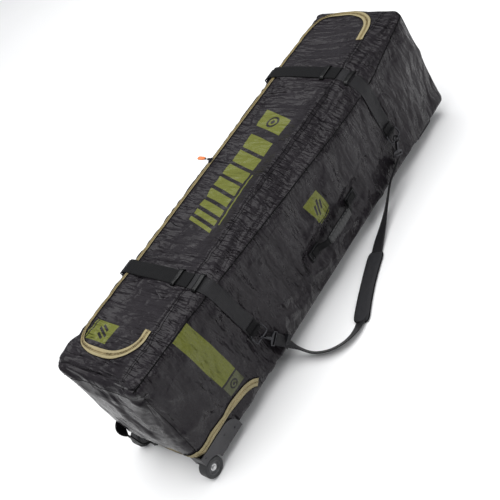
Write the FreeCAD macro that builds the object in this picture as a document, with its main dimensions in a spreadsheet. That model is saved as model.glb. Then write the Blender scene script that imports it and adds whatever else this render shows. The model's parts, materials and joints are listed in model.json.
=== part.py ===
import FreeCAD, Part
import math
import os
import Sketcher
from FreeCAD import Placement, Rotation, Vector

# Wheeled board bag lying on its back: +X runs from the wheel end to the far end, +Z is the side that
# opens, the grab handle and the shoulder strap are on the -Y side. The floor is at Z = 0.

doc = FreeCAD.newDocument("board_bag")

DIMENSIONS = {
    "bag_length": 1550,
    "bag_width": 360,
    "bag_height": 420,
    "ground_gap": 43,
    "wall": 8,
    "base_wall": 12,
    "board_wall": 4,
    "corner_round": 40,
    "lid_start": -702,
    "lid_end": 745,
    "hinge_y": -110,
    "zip_y": 152,
    "zip_gap": 1,
    "zip_round": 75,
    "zip_end_round": 105,
    "tape_width": 15,
    "tape_wall": 1.2,
    "webbing_width": 50,
    "webbing_wall": 2,
    "lower_strap_x": -410,
    "upper_strap_x": 455,
    "lower_ring_x": -385,
    "upper_ring_x": 465,
    "lower_ring_z": 215,
    "upper_ring_z": 195,
    "buckle_y": 197,
    "wheel_x": -764,
    "wheel_radius": 35,
    "wheel_width": 36,
    "wheel_face_y": 181,
    "axle_radius": 3.95,
    "bearing_bore": 4,
    "bearing_radius": 11,
    "bearing_width": 7,
    "guard_wall": 4,
    "guard_top": 104,
    "guard_end": -612,
    "well_radius": 43,
    "base_zip_z": 117,
    "base_zip_end": -500,
    "rail_y": 118,
    "rail_width": 40,
    "slider_x": 40,
    "handle_z": 178,
    "handle_middle_x": 66,
    "strap_radius": 6,
    "pad_width": 50,
    "pad_wall": 12,
}

sheet = doc.addObject("Spreadsheet::Sheet", "dim")
for line, (alias, number) in enumerate(DIMENSIONS.items(), start=1):
    sheet.set(f"A{line}", alias)
    sheet.set(f"B{line}", str(number))
    sheet.setAlias(f"B{line}", alias)
doc.recompute()

SIDES = {"right": -1, "left": 1}
STRAPS = ("lower", "upper")
finished = []


# ---------------------------------------------------------------- helpers


def value(expression):
    """The number that a sheet expression stands for now."""
    result = sheet.evalExpression(str(expression))
    return float(getattr(result, "Value", result))


def keep(piece, label):
    """Names a finished sub-part."""
    piece.Label = label
    finished.append(piece)
    return piece


def block(name, x, y, z):
    """A block between two faces on each axis, every face an expression."""
    piece = doc.addObject("Part::Box", name)
    for prop, axis, (low, high) in (("Length", "x", x), ("Width", "y", y), ("Height", "z", z)):
        piece.setExpression(prop, f"({high}) - ({low})")
        piece.setExpression(f"Placement.Base.{axis}", f"{low}")
    return piece


def side_span(side, near, far):
    """Low and high Y of a layer that lies near..far from the middle on one side."""
    if side > 0:
        return (f"({near})", f"({far})")
    return (f"-({far})", f"-({near})")


def rod(name, radius, x, y, z, length, axis):
    """A cylinder from a point along +Y, +X or +Z."""
    piece = doc.addObject("Part::Cylinder", name)
    piece.setExpression("Radius", str(radius))
    piece.setExpression("Height", str(length))
    turn = {"X": Rotation(Vector(0, 1, 0), 90), "Y": Rotation(Vector(1, 0, 0), -90), "Z": Rotation()}[axis]
    piece.Placement = Placement(Vector(), turn)
    for key, place in (("x", x), ("y", y), ("z", z)):
        piece.setExpression(f"Placement.Base.{key}", str(place))
    return piece


def cut(name, base, tool):
    piece = doc.addObject("Part::Cut", name)
    piece.Base = base
    piece.Tool = tool
    return piece


def fuse(name, pieces):
    piece = doc.addObject("Part::MultiFuse", name)
    piece.Shapes = pieces
    piece.Refine = True
    return piece


def common(name, pieces):
    piece = doc.addObject("Part::MultiCommon", name)
    piece.Shapes = pieces
    return piece


def edges_along(shape, direction, test=None):
    """Numbers of the straight edges that run along a direction."""
    numbers = []
    for number, edge in enumerate(shape.Edges, start=1):
        if edge.Curve.TypeId != "Part::GeomLine":
            continue
        along = (edge.Vertexes[-1].Point - edge.Vertexes[0].Point).normalize()
        if abs(along.dot(direction)) > 0.999 and (test is None or test(edge.CenterOfMass)):
            numbers.append(number)
    return numbers


def rounded(name, base, direction, radius, test=None):
    """The base with its edges along one direction filleted."""
    doc.recompute()
    piece = doc.addObject("Part::Fillet", name)
    piece.Base = base
    size = value(radius)
    piece.Edges = [(number, size, size) for number in edges_along(base.Shape, direction, test)]
    return piece


def new_body(name, place=Placement()):
    body = doc.addObject("PartDesign::Body", name)
    body.Placement = place
    return body


def new_sketch(body, role, name):
    sketch = body.newObject("Sketcher::SketchObject", name)
    plane = next(item for item in body.Origin.OriginFeatures if item.Role == role)
    sketch.AttachmentSupport = [(plane, "")]
    sketch.MapMode = "FlatFace"
    return sketch


def outline(sketch, points):
    """A closed outline; each corner is held by two dimensions that follow their expressions."""
    places = [Vector(value(x), value(y), 0) for x, y in points]
    for number, place in enumerate(places):
        sketch.addGeometry(Part.LineSegment(place, places[(number + 1) % len(places)]), False)
    for number in range(len(points)):
        sketch.addConstraint(Sketcher.Constraint("Coincident", number, 2, (number + 1) % len(points), 1))
    for number, (x, y) in enumerate(points):
        for kind, expression, place in (
            ("DistanceX", x, places[number].x), ("DistanceY", y, places[number].y)
        ):
            index = sketch.addConstraint(Sketcher.Constraint(kind, -1, 1, number, 1, place))
            if not isinstance(expression, (int, float)):
                sketch.setExpression(f"Constraints[{index}]", expression)


def circle(sketch, x, y, radius):
    index = sketch.addGeometry(Part.Circle(Vector(x, y, 0), Vector(0, 0, 1), value(radius)), False)
    number = sketch.addConstraint(Sketcher.Constraint("Radius", index, value(radius)))
    sketch.setExpression(f"Constraints[{number}]", str(radius))


def pad(body, sketch, length, name, midplane=False):
    feature = body.newObject("PartDesign::Pad", name)
    feature.Profile = sketch
    feature.setExpression("Length", str(length))
    feature.Midplane = midplane
    sketch.Visibility = False
    doc.recompute()
    return feature


def pocket_through(body, sketch, name):
    """Cuts a sketch through the whole body, both ways, and makes sure that it cuts."""
    before = body.Shape.Volume
    feature = body.newObject("PartDesign::Pocket", name)
    feature.Profile = sketch
    feature.Type = "ThroughAll"
    feature.Midplane = True
    doc.recompute()
    if body.Shape.Volume > before - 0.1:
        raise RuntimeError(f"{name} cuts nothing")
    return feature


def revolve(body, points, name):
    """A ring or disc turned about the body's own Y axis from an outline of (radius, y) points."""
    sketch = new_sketch(body, "XY_Plane", f"{name}_profile")
    outline(sketch, points)
    feature = body.newObject("PartDesign::Revolution", name)
    feature.Profile = sketch
    feature.ReferenceAxis = (sketch, ["V_Axis"])
    feature.Angle = 360
    doc.recompute()
    return feature


def fillet_edges(body, feature, radius, name, test):
    """Fillets the edges of a body's last feature that pass a test."""
    chosen = [f"Edge{number}" for number, edge in enumerate(feature.Shape.Edges, start=1) if test(edge)]
    round_off = body.newObject("PartDesign::Fillet", name)
    round_off.Base = (feature, chosen)
    round_off.setExpression("Radius", str(radius))
    doc.recompute()
    return round_off


def shape_piece(label, shape, place=None):
    """A sub-part whose shape is worked out here from the sheet's numbers."""
    piece = doc.addObject("Part::Feature", label)
    piece.Shape = shape
    if place is not None:
        piece.Placement = place
    return keep(piece, label)


def copies(label, source, places):
    """Identical separate solids in one group."""
    doc.recompute()
    solids = []
    for place in places:
        solid = source.Shape.copy()
        solid.Placement = place.multiply(solid.Placement)
        solids.append(solid)
    return shape_piece(label, Part.makeCompound(solids))


def arc_route(points, share=0.45):
    """Straight runs joined by tangent arcs; each arc is as large as its two runs allow."""
    edges = []
    start = points[0]
    for before, corner, after in zip(points, points[1:], points[2:]):
        back = before - corner
        ahead = after - corner
        run = min(back.Length, ahead.Length)
        back.normalize()
        ahead.normalize()
        turn = math.pi - back.getAngle(ahead)
        radius = share * run / math.tan(turn / 2)
        reach = share * run
        arc_start = corner + back * reach
        arc_end = corner + ahead * reach
        middle = (back + ahead).normalize()
        centre_distance = math.hypot(reach, radius)
        arc_middle = corner + middle * (centre_distance - radius)
        edges.append(Part.LineSegment(start, arc_start).toShape())
        edges.append(Part.Arc(arc_start, arc_middle, arc_end).toShape())
        start = arc_end
        print(f"  bend radius {radius:.0f} mm")
    edges.append(Part.LineSegment(start, points[-1]).toShape())
    return Part.Wire(edges)


def tube(route, radius):
    """A round bar along a wire."""
    first = route.OrderedEdges[0]
    start = first.valueAt(first.FirstParameter)
    heading = first.tangentAt(first.FirstParameter)
    profile = Part.Wire([Part.makeCircle(radius, start, heading)])
    solid = route.makePipeShell([profile], True, False)
    expected = math.pi * radius**2 * route.Length
    if abs(solid.Volume / expected - 1) > 0.02:
        raise RuntimeError("a tube's volume isn't its section times its length")
    return solid


def rounded_loop(width, height, corner, plane):
    """A closed rounded rectangle wire, centred, in the XZ plane of a placement."""
    half, up, arc = width / 2, height / 2, corner
    bend = arc * (1 - math.sqrt(0.5))
    edges = [Part.LineSegment(Vector(0, 0, -up), Vector(half - arc, 0, -up)).toShape()]
    edges.append(
        Part.Arc(
            Vector(half - arc, 0, -up), Vector(half - bend, 0, -up + bend), Vector(half, 0, arc - up)
        ).toShape()
    )
    edges.append(Part.LineSegment(Vector(half, 0, arc - up), Vector(half, 0, up - arc)).toShape())
    edges.append(
        Part.Arc(
            Vector(half, 0, up - arc), Vector(half - bend, 0, up - bend), Vector(half - arc, 0, up)
        ).toShape()
    )
    edges.append(Part.LineSegment(Vector(half - arc, 0, up), Vector(arc - half, 0, up)).toShape())
    edges.append(
        Part.Arc(
            Vector(arc - half, 0, up), Vector(bend - half, 0, up - bend), Vector(-half, 0, up - arc)
        ).toShape()
    )
    edges.append(Part.LineSegment(Vector(-half, 0, up - arc), Vector(-half, 0, arc - up)).toShape())
    edges.append(
        Part.Arc(
            Vector(-half, 0, arc - up), Vector(bend - half, 0, bend - up), Vector(arc - half, 0, -up)
        ).toShape()
    )
    edges.append(Part.LineSegment(Vector(arc - half, 0, -up), Vector(0, 0, -up)).toShape())
    wire = Part.Wire(edges)
    wire.Placement = plane
    return wire


# ---------------------------------------------------------------- the bag's panels

TOP = "dim.ground_gap + dim.bag_height"
LID_FLOOR = f"{TOP} - dim.wall"
HALF_LENGTH = "dim.bag_length / 2"
HALF_WIDTH = "dim.bag_width / 2"
INNER_LENGTH = f"{HALF_LENGTH} - dim.wall"
INNER_WIDTH = f"{HALF_WIDTH} - dim.wall"
X_AXIS, Y_AXIS, Z_AXIS = Vector(1, 0, 0), Vector(0, 1, 0), Vector(0, 0, 1)
GUARD_SCREWS = ((-635, 60), (-674, 80), (-762, 92))
RAIL_SCREWS = (-520, -160, 200, 560)
RAIL_UNDERSIDE = 31
SCREW_HOLE = 2.03


def guard_screw_holes(name, side):
    low = side_span(side, 160, 190)[0]
    return [
        rod(f"{name}_{number}", SCREW_HOLE, x, low, z, 30, "Y")
        for number, (x, z) in enumerate(GUARD_SCREWS)
    ]


def rail_screw_holes(name, radius, low, length):
    holes = []
    for side in SIDES.values():
        for number, x in enumerate(RAIL_SCREWS):
            label = f"{name}_{number}_{'l' if side > 0 else 'r'}"
            holes.append(rod(label, radius, x, f"{side} * dim.rail_y", low, length, "Z"))
    return holes


def wheel_wells(name):
    """Two short drums that clear the wheel housings out of the panels."""
    drums = []
    for side_name, side in SIDES.items():
        low = side_span(side, 130.5, 190)[0]
        drum = rod(
            f"{name}_{side_name}", "dim.well_radius + 0.3", "dim.wheel_x", low, "dim.wheel_radius", 59.5, "Y"
        )
        drums.append(drum)
    return fuse(name, drums)


def lid_prism(name, grow, low, high):
    """A tall prism on the lid's outline, grown by a margin; the lid and its zip follow it."""
    prism = block(
        f"{name}_block",
        (f"dim.lid_start - ({grow})", f"dim.lid_end + ({grow})"),
        ("dim.hinge_y", f"dim.zip_y + ({grow})"),
        (low, high),
    )
    middle = value("(dim.hinge_y + dim.zip_y) / 2")
    left = rounded(f"{name}_left", prism, Z_AXIS, f"dim.zip_round + ({grow})", lambda at: at.y > middle)
    return rounded(name, left, Z_AXIS, f"dim.zip_end_round + ({grow})", lambda at: at.y < middle)


def make_panels():
    board = block(
        "base_block",
        (f"-({INNER_LENGTH})", INNER_LENGTH),
        (f"-({INNER_WIDTH})", INNER_WIDTH),
        ("dim.ground_gap", "dim.ground_gap + dim.base_wall"),
    )
    holes = rail_screw_holes("base_screw_hole", SCREW_HOLE, 30, 40)
    keep(cut("base_cut", board, fuse("base_holes", [wheel_wells("base_wells"), *holes])), "base_panel")

    stiffener = block(
        "stiffener_block",
        (f"-({INNER_LENGTH}) + 20", f"{INNER_LENGTH} - 20"),
        (f"-({INNER_WIDTH}) + 8", f"{INNER_WIDTH} - 8"),
        ("dim.ground_gap + dim.base_wall", "dim.ground_gap + dim.base_wall + dim.board_wall"),
    )
    soft_corners = rounded("stiffener_round", stiffener, Z_AXIS, 25)
    keep(cut("stiffener_cut", soft_corners, wheel_wells("stiffener_wells")), "base_stiffener_board")

    for side_name, side in SIDES.items():
        wall = block(
            f"side_block_{side_name}",
            (f"-({INNER_LENGTH})", INNER_LENGTH),
            side_span(side, INNER_WIDTH, HALF_WIDTH),
            ("dim.ground_gap", TOP),
        )
        holes = [
            wheel_wells(f"side_wells_{side_name}"), *guard_screw_holes(f"side_screw_hole_{side_name}", side)
        ]
        keep(
            cut(f"side_cut_{side_name}", wall, fuse(f"side_holes_{side_name}", holes)),
            f"side_panel_{side_name}",
        )

    for label, (low, high) in {
        "wheel_end_panel": (f"-({HALF_LENGTH})", f"-({INNER_LENGTH})"),
        "far_end_panel": (INNER_LENGTH, HALF_LENGTH),
    }.items():
        wall = block(
            f"{label}_block", (low, high), (f"-({HALF_WIDTH})", HALF_WIDTH), ("dim.ground_gap", TOP)
        )
        if label == "wheel_end_panel":
            keep(cut(f"{label}_cut", wall, wheel_wells(f"{label}_wells")), label)
        else:
            keep(rounded(f"{label}_round", wall, X_AXIS, "dim.corner_round / 2"), label)


def make_top_border():
    """The part of the opening side that stays on the bag, in four strips round the lid."""
    strips = {
        "hinge_side_strip": ((f"-({INNER_LENGTH})", INNER_LENGTH), (f"-({INNER_WIDTH})", "dim.hinge_y")),
        "wheel_end_strip": ((f"-({INNER_LENGTH})", "dim.lid_start + 110"), ("dim.hinge_y", INNER_WIDTH)),
        "far_end_strip": (("dim.lid_end - 110", INNER_LENGTH), ("dim.hinge_y", INNER_WIDTH)),
        "zip_side_strip": (("dim.lid_start + 110", "dim.lid_end - 110"), ("dim.zip_y - 5", INNER_WIDTH)),
    }
    for label, (x, y) in strips.items():
        blank = block(f"{label}_blank", x, y, (LID_FLOOR, TOP))
        room = lid_prism(f"{label}_room", "dim.zip_gap", f"{LID_FLOOR} - 1", f"{TOP} + 1")
        keep(cut(f"{label}_cut", blank, room), label)


def make_lid():
    keep(lid_prism("lid_slab", "-dim.zip_gap", LID_FLOOR, TOP), "lid_panel")

    tape_top = f"{TOP} + dim.tape_wall"
    hinge_room = block(
        "hinge_room",
        ("dim.lid_start - 50", "dim.lid_end + 50"),
        ("dim.hinge_y - 20", "dim.hinge_y + 22"),
        (f"{TOP} - 5", f"{TOP} + 5"),
    )
    for label, outside, inside in (
        ("zip_tape_lid", "-dim.zip_gap", "-dim.tape_width - dim.zip_gap"),
        ("zip_tape_body", "dim.tape_width + dim.zip_gap", "dim.zip_gap"),
    ):
        outer = lid_prism(f"{label}_outer", outside, TOP, tape_top)
        inner = lid_prism(f"{label}_inner", inside, f"{TOP} - 1", f"{tape_top} + 1")
        ring = cut(f"{label}_ring", outer, inner)
        keep(cut(f"{label}_cut", ring, hinge_room), label)


# ---------------------------------------------------------------- wheels and their housings


def make_corner_guards():
    """A moulded housing on each lower corner: three plates, an arch over the wheel and an inner cheek."""
    for side_name, side in SIDES.items():
        outer_y = f"{HALF_WIDTH} + dim.guard_wall"
        end_x = f"{HALF_LENGTH} + dim.guard_wall"
        under = "dim.ground_gap - dim.guard_wall"
        tag = f"guard_{side_name}"
        plate = block(
            f"{tag}_plate",
            (f"-({end_x})", "dim.guard_end"),
            side_span(side, HALF_WIDTH, outer_y),
            (under, "dim.guard_top"),
        )
        plate = rounded(f"{tag}_plate_round", plate, Y_AXIS, 46, lambda at: at.x > -700 and at.z > 80)
        end = block(
            f"{tag}_end",
            (f"-({end_x})", f"-({HALF_LENGTH})"),
            side_span(side, 122, outer_y),
            ("dim.ground_gap + 8", "dim.guard_top"),
        )
        base = block(
            f"{tag}_base",
            ("dim.wheel_x + 30", "dim.guard_end"),
            side_span(side, 122, outer_y),
            (under, "dim.ground_gap"),
        )
        low = side_span(side, 135, outer_y)[0]
        drum = rod(
            f"{tag}_drum",
            "dim.well_radius",
            "dim.wheel_x",
            low,
            "dim.wheel_radius",
            f"{outer_y} - 135",
            "Y",
        )
        corner = block(
            f"{tag}_corner", (f"-({end_x})", "dim.guard_end"), side_span(side, 100, 200), (under, 200)
        )
        arch = common(f"{tag}_arch", [drum, corner])
        boss_low = side_span(side, 131, 139)[0]
        boss = rod(f"{tag}_boss", 13, "dim.wheel_x", boss_low, "dim.wheel_radius", 8, "Y")
        shell = fuse(f"{tag}_shell", [plate, end, base, arch, boss])
        room_low = side_span(side, 139, 200)[0]
        room = rod(
            f"{tag}_room", "dim.well_radius - 3", "dim.wheel_x", room_low, "dim.wheel_radius", 61, "Y"
        )
        spacer_low = side_span(side, 137, 144.7)[0]
        spacer = rod(f"{tag}_spacer", 7.5, "dim.wheel_x", spacer_low, "dim.wheel_radius", 7.7, "Y")
        solid = fuse(f"{tag}_solid", [cut(f"{tag}_hollow", shell, room), spacer])
        bore_low = side_span(side, 120, 150)[0]
        bore = rod(
            f"{tag}_bore", "dim.axle_radius + 0.05", "dim.wheel_x", bore_low, "dim.wheel_radius", 30, "Y"
        )
        holes = fuse(f"{tag}_holes", [bore, *guard_screw_holes(f"{tag}_screw_hole", side)])
        keep(cut(f"{tag}_cut", solid, holes), f"corner_guard_{side_name}")


def make_wheels():
    half = "dim.wheel_width / 2"
    for side_name, side in SIDES.items():
        centre = Vector(
            value("dim.wheel_x"), side * value(f"dim.wheel_face_y - {half}"), value("dim.wheel_radius")
        )
        facing = Rotation() if side > 0 else Rotation(Z_AXIS, 180)
        place = Placement(centre, facing)

        tyre = new_body(f"tyre_{side_name}", place)
        ring = revolve(
            tyre,
            [
                ("23", f"-{half}"),
                ("dim.wheel_radius", f"-{half}"),
                ("dim.wheel_radius", half),
                ("23", half),
            ],
            f"tyre_ring_{side_name}",
        )
        rim = value("dim.wheel_radius") - 0.01
        fillet_edges(
            tyre,
            ring,
            5,
            f"tyre_shoulders_{side_name}",
            lambda e: e.BoundBox.ZMax - e.Placement.Base.z > rim,
        )
        keep(tyre, f"wheel_tyre_{side_name}")

        hub = new_body(f"hub_{side_name}", place)
        revolve(
            hub,
            [
                ("dim.bearing_radius + 0.03", f"{half} - 6"),
                ("dim.bearing_radius + 0.03", f"{half} - 6 - dim.bearing_width"),
                ("8", f"{half} - 6 - dim.bearing_width"),
                ("8", f"dim.bearing_width - ({half})"),
                ("dim.bearing_radius + 0.03", f"dim.bearing_width - ({half})"),
                ("dim.bearing_radius + 0.03", f"-({half})"),
                ("22.98", f"-({half}) + 1"),
                ("22.98", f"{half} - 1"),
                ("20", f"{half} - 1"),
                ("17", f"{half} - 6"),
            ],
            f"hub_core_{side_name}",
        )
        keep(hub, f"wheel_hub_{side_name}")

        bearing = new_body(f"bearing_{side_name}")
        race_half = "dim.bearing_width / 2"
        race = [("dim.bearing_bore", f"-{race_half}"), ("dim.bearing_radius", f"-{race_half}")]
        race += [("dim.bearing_radius", race_half), ("dim.bearing_bore", race_half)]
        revolve(bearing, race, f"bearing_ring_{side_name}")
        seats = (value(f"{half} - 6 - {race_half}"), value(f"{race_half} - ({half})"))
        copies(
            f"wheel_bearings_{side_name}",
            bearing,
            [place.multiply(Placement(Vector(0, at, 0), Rotation())) for at in seats],
        )

    bolt = new_body("axle_bolt")
    shank_radius = "dim.axle_radius"
    revolve(
        bolt,
        [("0", "5"), ("6.5", "5"), ("6.5", "0"), (shank_radius, "0"), (shank_radius, "-54"), ("0", "-54")],
        "axle_bolt_core",
    )
    hexagon = new_sketch(bolt, "XZ_Plane", "axle_bolt_key")
    outline(
        hexagon,
        [
            (round(2.9 * math.cos(k * math.pi / 3), 3), round(2.9 * math.sin(k * math.pi / 3), 3))
            for k in range(6)
        ],
    )
    before = bolt.Shape.Volume
    key = bolt.newObject("PartDesign::Pocket", "axle_bolt_socket")
    key.Profile = hexagon
    key.Length = 5
    key.Reversed = True
    hexagon.AttachmentOffset = Placement(Vector(0, 0, -2), Rotation())
    doc.recompute()
    if bolt.Shape.Volume > before - 0.1:
        raise RuntimeError("the axle bolt's socket cuts nothing")
    head_y = value("dim.wheel_face_y") - 6
    mounts = [
        Placement(
            Vector(value("dim.wheel_x"), side * head_y, value("dim.wheel_radius")),
            Rotation(Z_AXIS, 0 if side > 0 else 180),
        )
        for side in SIDES.values()
    ]
    copies("axle_bolts", bolt, mounts)

    nut = new_body("axle_nut")
    flats = new_sketch(nut, "XZ_Plane", "axle_nut_flats")
    outline(
        flats,
        [
            (round(7.5 * math.cos(k * math.pi / 3), 3), round(7.5 * math.sin(k * math.pi / 3), 3))
            for k in range(6)
        ],
    )
    circle(flats, 0, 0, "dim.axle_radius + 0.05")
    pad(nut, flats, 6, "axle_nut_pad")
    nut_places = []
    for side in SIDES.values():
        face = 130.9 if side > 0 else -124.9
        nut_places.append(
            Placement(Vector(value("dim.wheel_x"), face, value("dim.wheel_radius")), Rotation())
        )
    copies("axle_nuts", nut, nut_places)


def make_fasteners():
    screw = new_body("guard_screw")
    revolve(
        screw,
        [("0", "1.4"), ("2.6", "1.4"), ("4.2", "0"), ("2", "0"), ("2", "-9"), ("0", "-9")],
        "guard_screw_core",
    )
    slot = new_sketch(screw, "XZ_Plane", "guard_screw_slot")
    slot.AttachmentOffset = Placement(Vector(0, 0, -0.6), Rotation())
    outline(slot, [(-1.8, -0.4), (1.8, -0.4), (1.8, 0.4), (-1.8, 0.4)])
    drive = screw.newObject("PartDesign::Pocket", "guard_screw_drive")
    drive.Profile = slot
    drive.Length = 4
    drive.Reversed = True
    doc.recompute()
    outer = value(f"{HALF_WIDTH} + dim.guard_wall")
    places = []
    for side in SIDES.values():
        for x, z in GUARD_SCREWS:
            places.append(Placement(Vector(x, side * outer, z), Rotation(Z_AXIS, 0 if side > 0 else 180)))
    copies("guard_screws", screw, places)

    rail_screw = new_body("rail_screw")
    profile = [("0", "0"), ("4", "0"), ("4", "2.5"), ("2", "2.5"), ("2", "20"), ("0", "20")]
    revolve(rail_screw, profile, "rail_screw_core")
    upright = Rotation(X_AXIS, 90)
    places = [
        Placement(Vector(x, side * value("dim.rail_y"), RAIL_UNDERSIDE), upright)
        for side in SIDES.values()
        for x in RAIL_SCREWS
    ]
    copies("rail_screws", rail_screw, places)


def make_skid_rails():
    """Moulded rails under the base; each deepens into a foot that levels the bag with its wheels."""
    rail = new_body("rail")
    profile = new_sketch(rail, "XZ_Plane", "rail_profile")
    top = "dim.ground_gap"
    points = [(-560, top), (-545, 31), (575, 31), (618, 0), (708, 0), (748, 31), (748, top)]
    outline(profile, points)
    solid = pad(rail, profile, "dim.rail_width", "rail_pad", midplane=True)
    fillet_edges(rail, solid, 4, "rail_edges", lambda e: e.BoundBox.ZMax < 32 and e.BoundBox.YLength < 1)
    pair = []
    for side_name, side in SIDES.items():
        moved = doc.addObject("Part::Feature", f"rail_{side_name}")
        moved.Shape = rail.Shape
        moved.Placement = Placement(Vector(0, side * value("dim.rail_y"), 0), Rotation())
        pair.append(moved)
    bores = rail_screw_holes("rail_bore", SCREW_HOLE, 30, 20)
    heads = rail_screw_holes("rail_head_room", 4.1, 30, 3.6)
    both = doc.addObject("Part::Compound", "rail_pair")
    both.Links = pair
    keep(cut("rail_cut", both, fuse("rail_holes", bores + heads)), "skid_rails")


# ---------------------------------------------------------------- zips


def make_base_zip():
    low, high = "dim.base_zip_z - 11", "dim.base_zip_z + 11"
    out_x = f"{HALF_LENGTH} + dim.tape_wall"
    out_y = f"{HALF_WIDTH} + dim.tape_wall"
    outer = block(
        "base_tape_outer", (f"-({out_x})", "dim.base_zip_end"), (f"-({out_y})", out_y), (low, high)
    )
    inner = block("base_tape_inner", (f"-({HALF_LENGTH})", 0), (f"-({HALF_WIDTH})", HALF_WIDTH), (0, 300))
    keep(cut("base_tape_cut", outer, inner), "base_zip_tape")


def make_slider(label, place):
    """A zip slider: a bevelled top plate on a neck with a bail for the puller; it lies on the tape."""
    slider = new_body(label, place)
    plan = new_sketch(slider, "XY_Plane", f"{label}_plan")
    outline(plan, [(-11, -4), (-7, -6), (7, -6), (11, -3), (11, 3), (7, 6), (-7, 6), (-11, 4)])
    plate = pad(slider, plan, 3, f"{label}_plate")
    fillet_edges(slider, plate, 0.8, f"{label}_edges", lambda edge: edge.BoundBox.ZMin > 2.9)
    bail = new_sketch(slider, "XZ_Plane", f"{label}_bail")
    outline(
        bail, [(-8, 2), (-8, 5.5), (-6.5, 7), (6.5, 7), (8, 5.5), (8, 2), (6, 2), (6, 5), (-6, 5), (-6, 2)]
    )
    pad(slider, bail, 2.4, f"{label}_bail_pad", midplane=True)
    return slider


def make_puller(label, place):
    """A flat metal tongue that hangs on the bail."""
    tongue = new_body(label, place)
    plan = new_sketch(tongue, "XY_Plane", f"{label}_plan")
    outline(plan, [(-5, 2.2), (5, 2.2), (5, 6), (3.5, 24), (-3.5, 24), (-5, 6)])
    pad(tongue, plan, 1.4, f"{label}_pad")
    hole = new_sketch(tongue, "XY_Plane", f"{label}_hole")
    outline(hole, [(-3, 12), (3, 12), (2.4, 21), (-2.4, 21)])
    pocket_through(tongue, hole, f"{label}_window")
    keep(tongue, label)


def make_tab(tab_label, place):
    """The soft tab on a puller's end."""
    tab = new_body(tab_label, place)
    shape = new_sketch(tab, "XY_Plane", f"{tab_label}_plan")
    outline(shape, [(-5, 24.2), (5, 24.2), (7, 33), (7, 53), (4, 58), (-4, 58), (-7, 53), (-7, 33)])
    solid = pad(tab, shape, 3.6, f"{tab_label}_pad")
    fillet_edges(tab, solid, 1.2, f"{tab_label}_edges", lambda e: e.BoundBox.ZLength < 0.01)
    keep(tab, tab_label)


def make_sliders():
    top = value(TOP)
    main = Placement(Vector(value("dim.slider_x"), value("dim.zip_y") + 8.5, top + 1.7), Rotation())
    keep(make_slider("main_slider_body", main), "main_zip_slider")
    pull = Placement(Vector(value("dim.slider_x"), value("dim.zip_y") + 8.5, top + 7), Rotation())
    make_puller("main_zip_puller", pull)
    make_tab("main_puller_tab", pull)

    face = value(HALF_WIDTH) + 1.7
    flat_on_side = Rotation(X_AXIS, -90)
    base = Placement(Vector(value("dim.base_zip_end") - 22, face, value("dim.base_zip_z")), flat_on_side)
    keep(make_slider("base_slider_body", base), "base_zip_slider")
    drop = Placement(
        Vector(value("dim.base_zip_end") - 22, face + 5.3, value("dim.base_zip_z")), flat_on_side
    )
    make_puller("base_zip_puller", drop)


# ---------------------------------------------------------------- compression straps and buckles


def webbing(label, x, profile):
    """A flat strap: its side view in the YZ plane, as wide as the webbing; not yet a finished sub-part."""
    strap = new_body(f"{label}_body", Placement(Vector(value(x), 0, 0), Rotation()))
    view = new_sketch(strap, "YZ_Plane", f"{label}_view")
    outline(view, profile)
    pad(strap, view, "dim.webbing_width", f"{label}_pad", midplane=True)
    return strap


def make_straps():
    thick = "dim.webbing_wall"
    on_top = f"{TOP} + {thick}"
    for name in STRAPS:
        x = f"dim.{name}_strap_x"
        edge = -value(HALF_WIDTH)
        strap = new_body(f"{name}_side_strap_body", Placement(Vector(value(x), 0, 0), Rotation()))
        leaf = new_sketch(strap, "YZ_Plane", f"{name}_top_leaf")
        outline(
            leaf, [(edge, TOP), ("dim.hinge_y - 12", TOP), ("dim.hinge_y - 12", on_top), (edge, on_top)]
        )
        pad(strap, leaf, "dim.webbing_width", f"{name}_top_leaf_pad", midplane=True)
        fall = new_sketch(strap, "XZ_Plane", f"{name}_side_leaf")
        fall.AttachmentOffset = Placement(Vector(0, 0, -edge), Rotation())
        lean = value(f"dim.{name}_ring_x - {x}")
        half = value("dim.webbing_width") / 2
        foot = f"dim.{name}_ring_z - 12"
        outline(fall, [(-half, on_top), (half, on_top), (half + lean, foot), (lean - half, foot)])
        pad(strap, fall, thick, f"{name}_side_leaf_pad")
        keep(strap, f"{name}_side_strap")
        outer = "dim.buckle_y - 1"
        over_lid = webbing(
            f"{name}_lid_strap",
            x,
            [
                ("dim.hinge_y + 12", f"{TOP} + 2"),
                (f"{outer} - {thick}", f"{TOP} + 2"),
                (f"{outer} - {thick}", f"{TOP} - 23"),
                (outer, f"{TOP} - 23"),
                (outer, f"{TOP} + 2 + {thick}"),
                ("dim.hinge_y + 12", f"{TOP} + 2 + {thick}"),
            ],
        )
        keep(over_lid, f"{name}_lid_strap")
    anchor = webbing(
        "anchor_strap",
        0,
        [
            (HALF_WIDTH, 140),
            (f"{HALF_WIDTH} + {thick}", 140),
            (f"{HALF_WIDTH} + {thick}", 329),
            ("dim.buckle_y - 0.5", 362),
            ("dim.buckle_y - 0.5", 376),
            ("dim.buckle_y + 11", 376),
            ("dim.buckle_y + 11", 378),
            ("dim.buckle_y - 2.5", 378),
            ("dim.buckle_y - 2.5", 363),
            (HALF_WIDTH, 331),
        ],
    )
    places = [Placement(Vector(value(f"dim.{name}_strap_x"), 0, 0), Rotation()) for name in STRAPS]
    copies("anchor_straps", anchor, places)


def make_keepers():
    """Low arches that the compression straps run under."""
    outer = block("keeper_outer", (-31, 31), (-7, 7), (0, 6.6))
    inner = block("keeper_inner", (-25.6, 25.6), (-8, 8), (-1, 5))
    arch = cut("keeper_arch", outer, inner)
    for label, y in (("lid_strap_keepers", -62), ("fixed_strap_keepers", -152)):
        places = [
            Placement(Vector(value(f"dim.{name}_strap_x"), y, value(TOP)), Rotation()) for name in STRAPS
        ]
        copies(label, arch, places)


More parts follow.
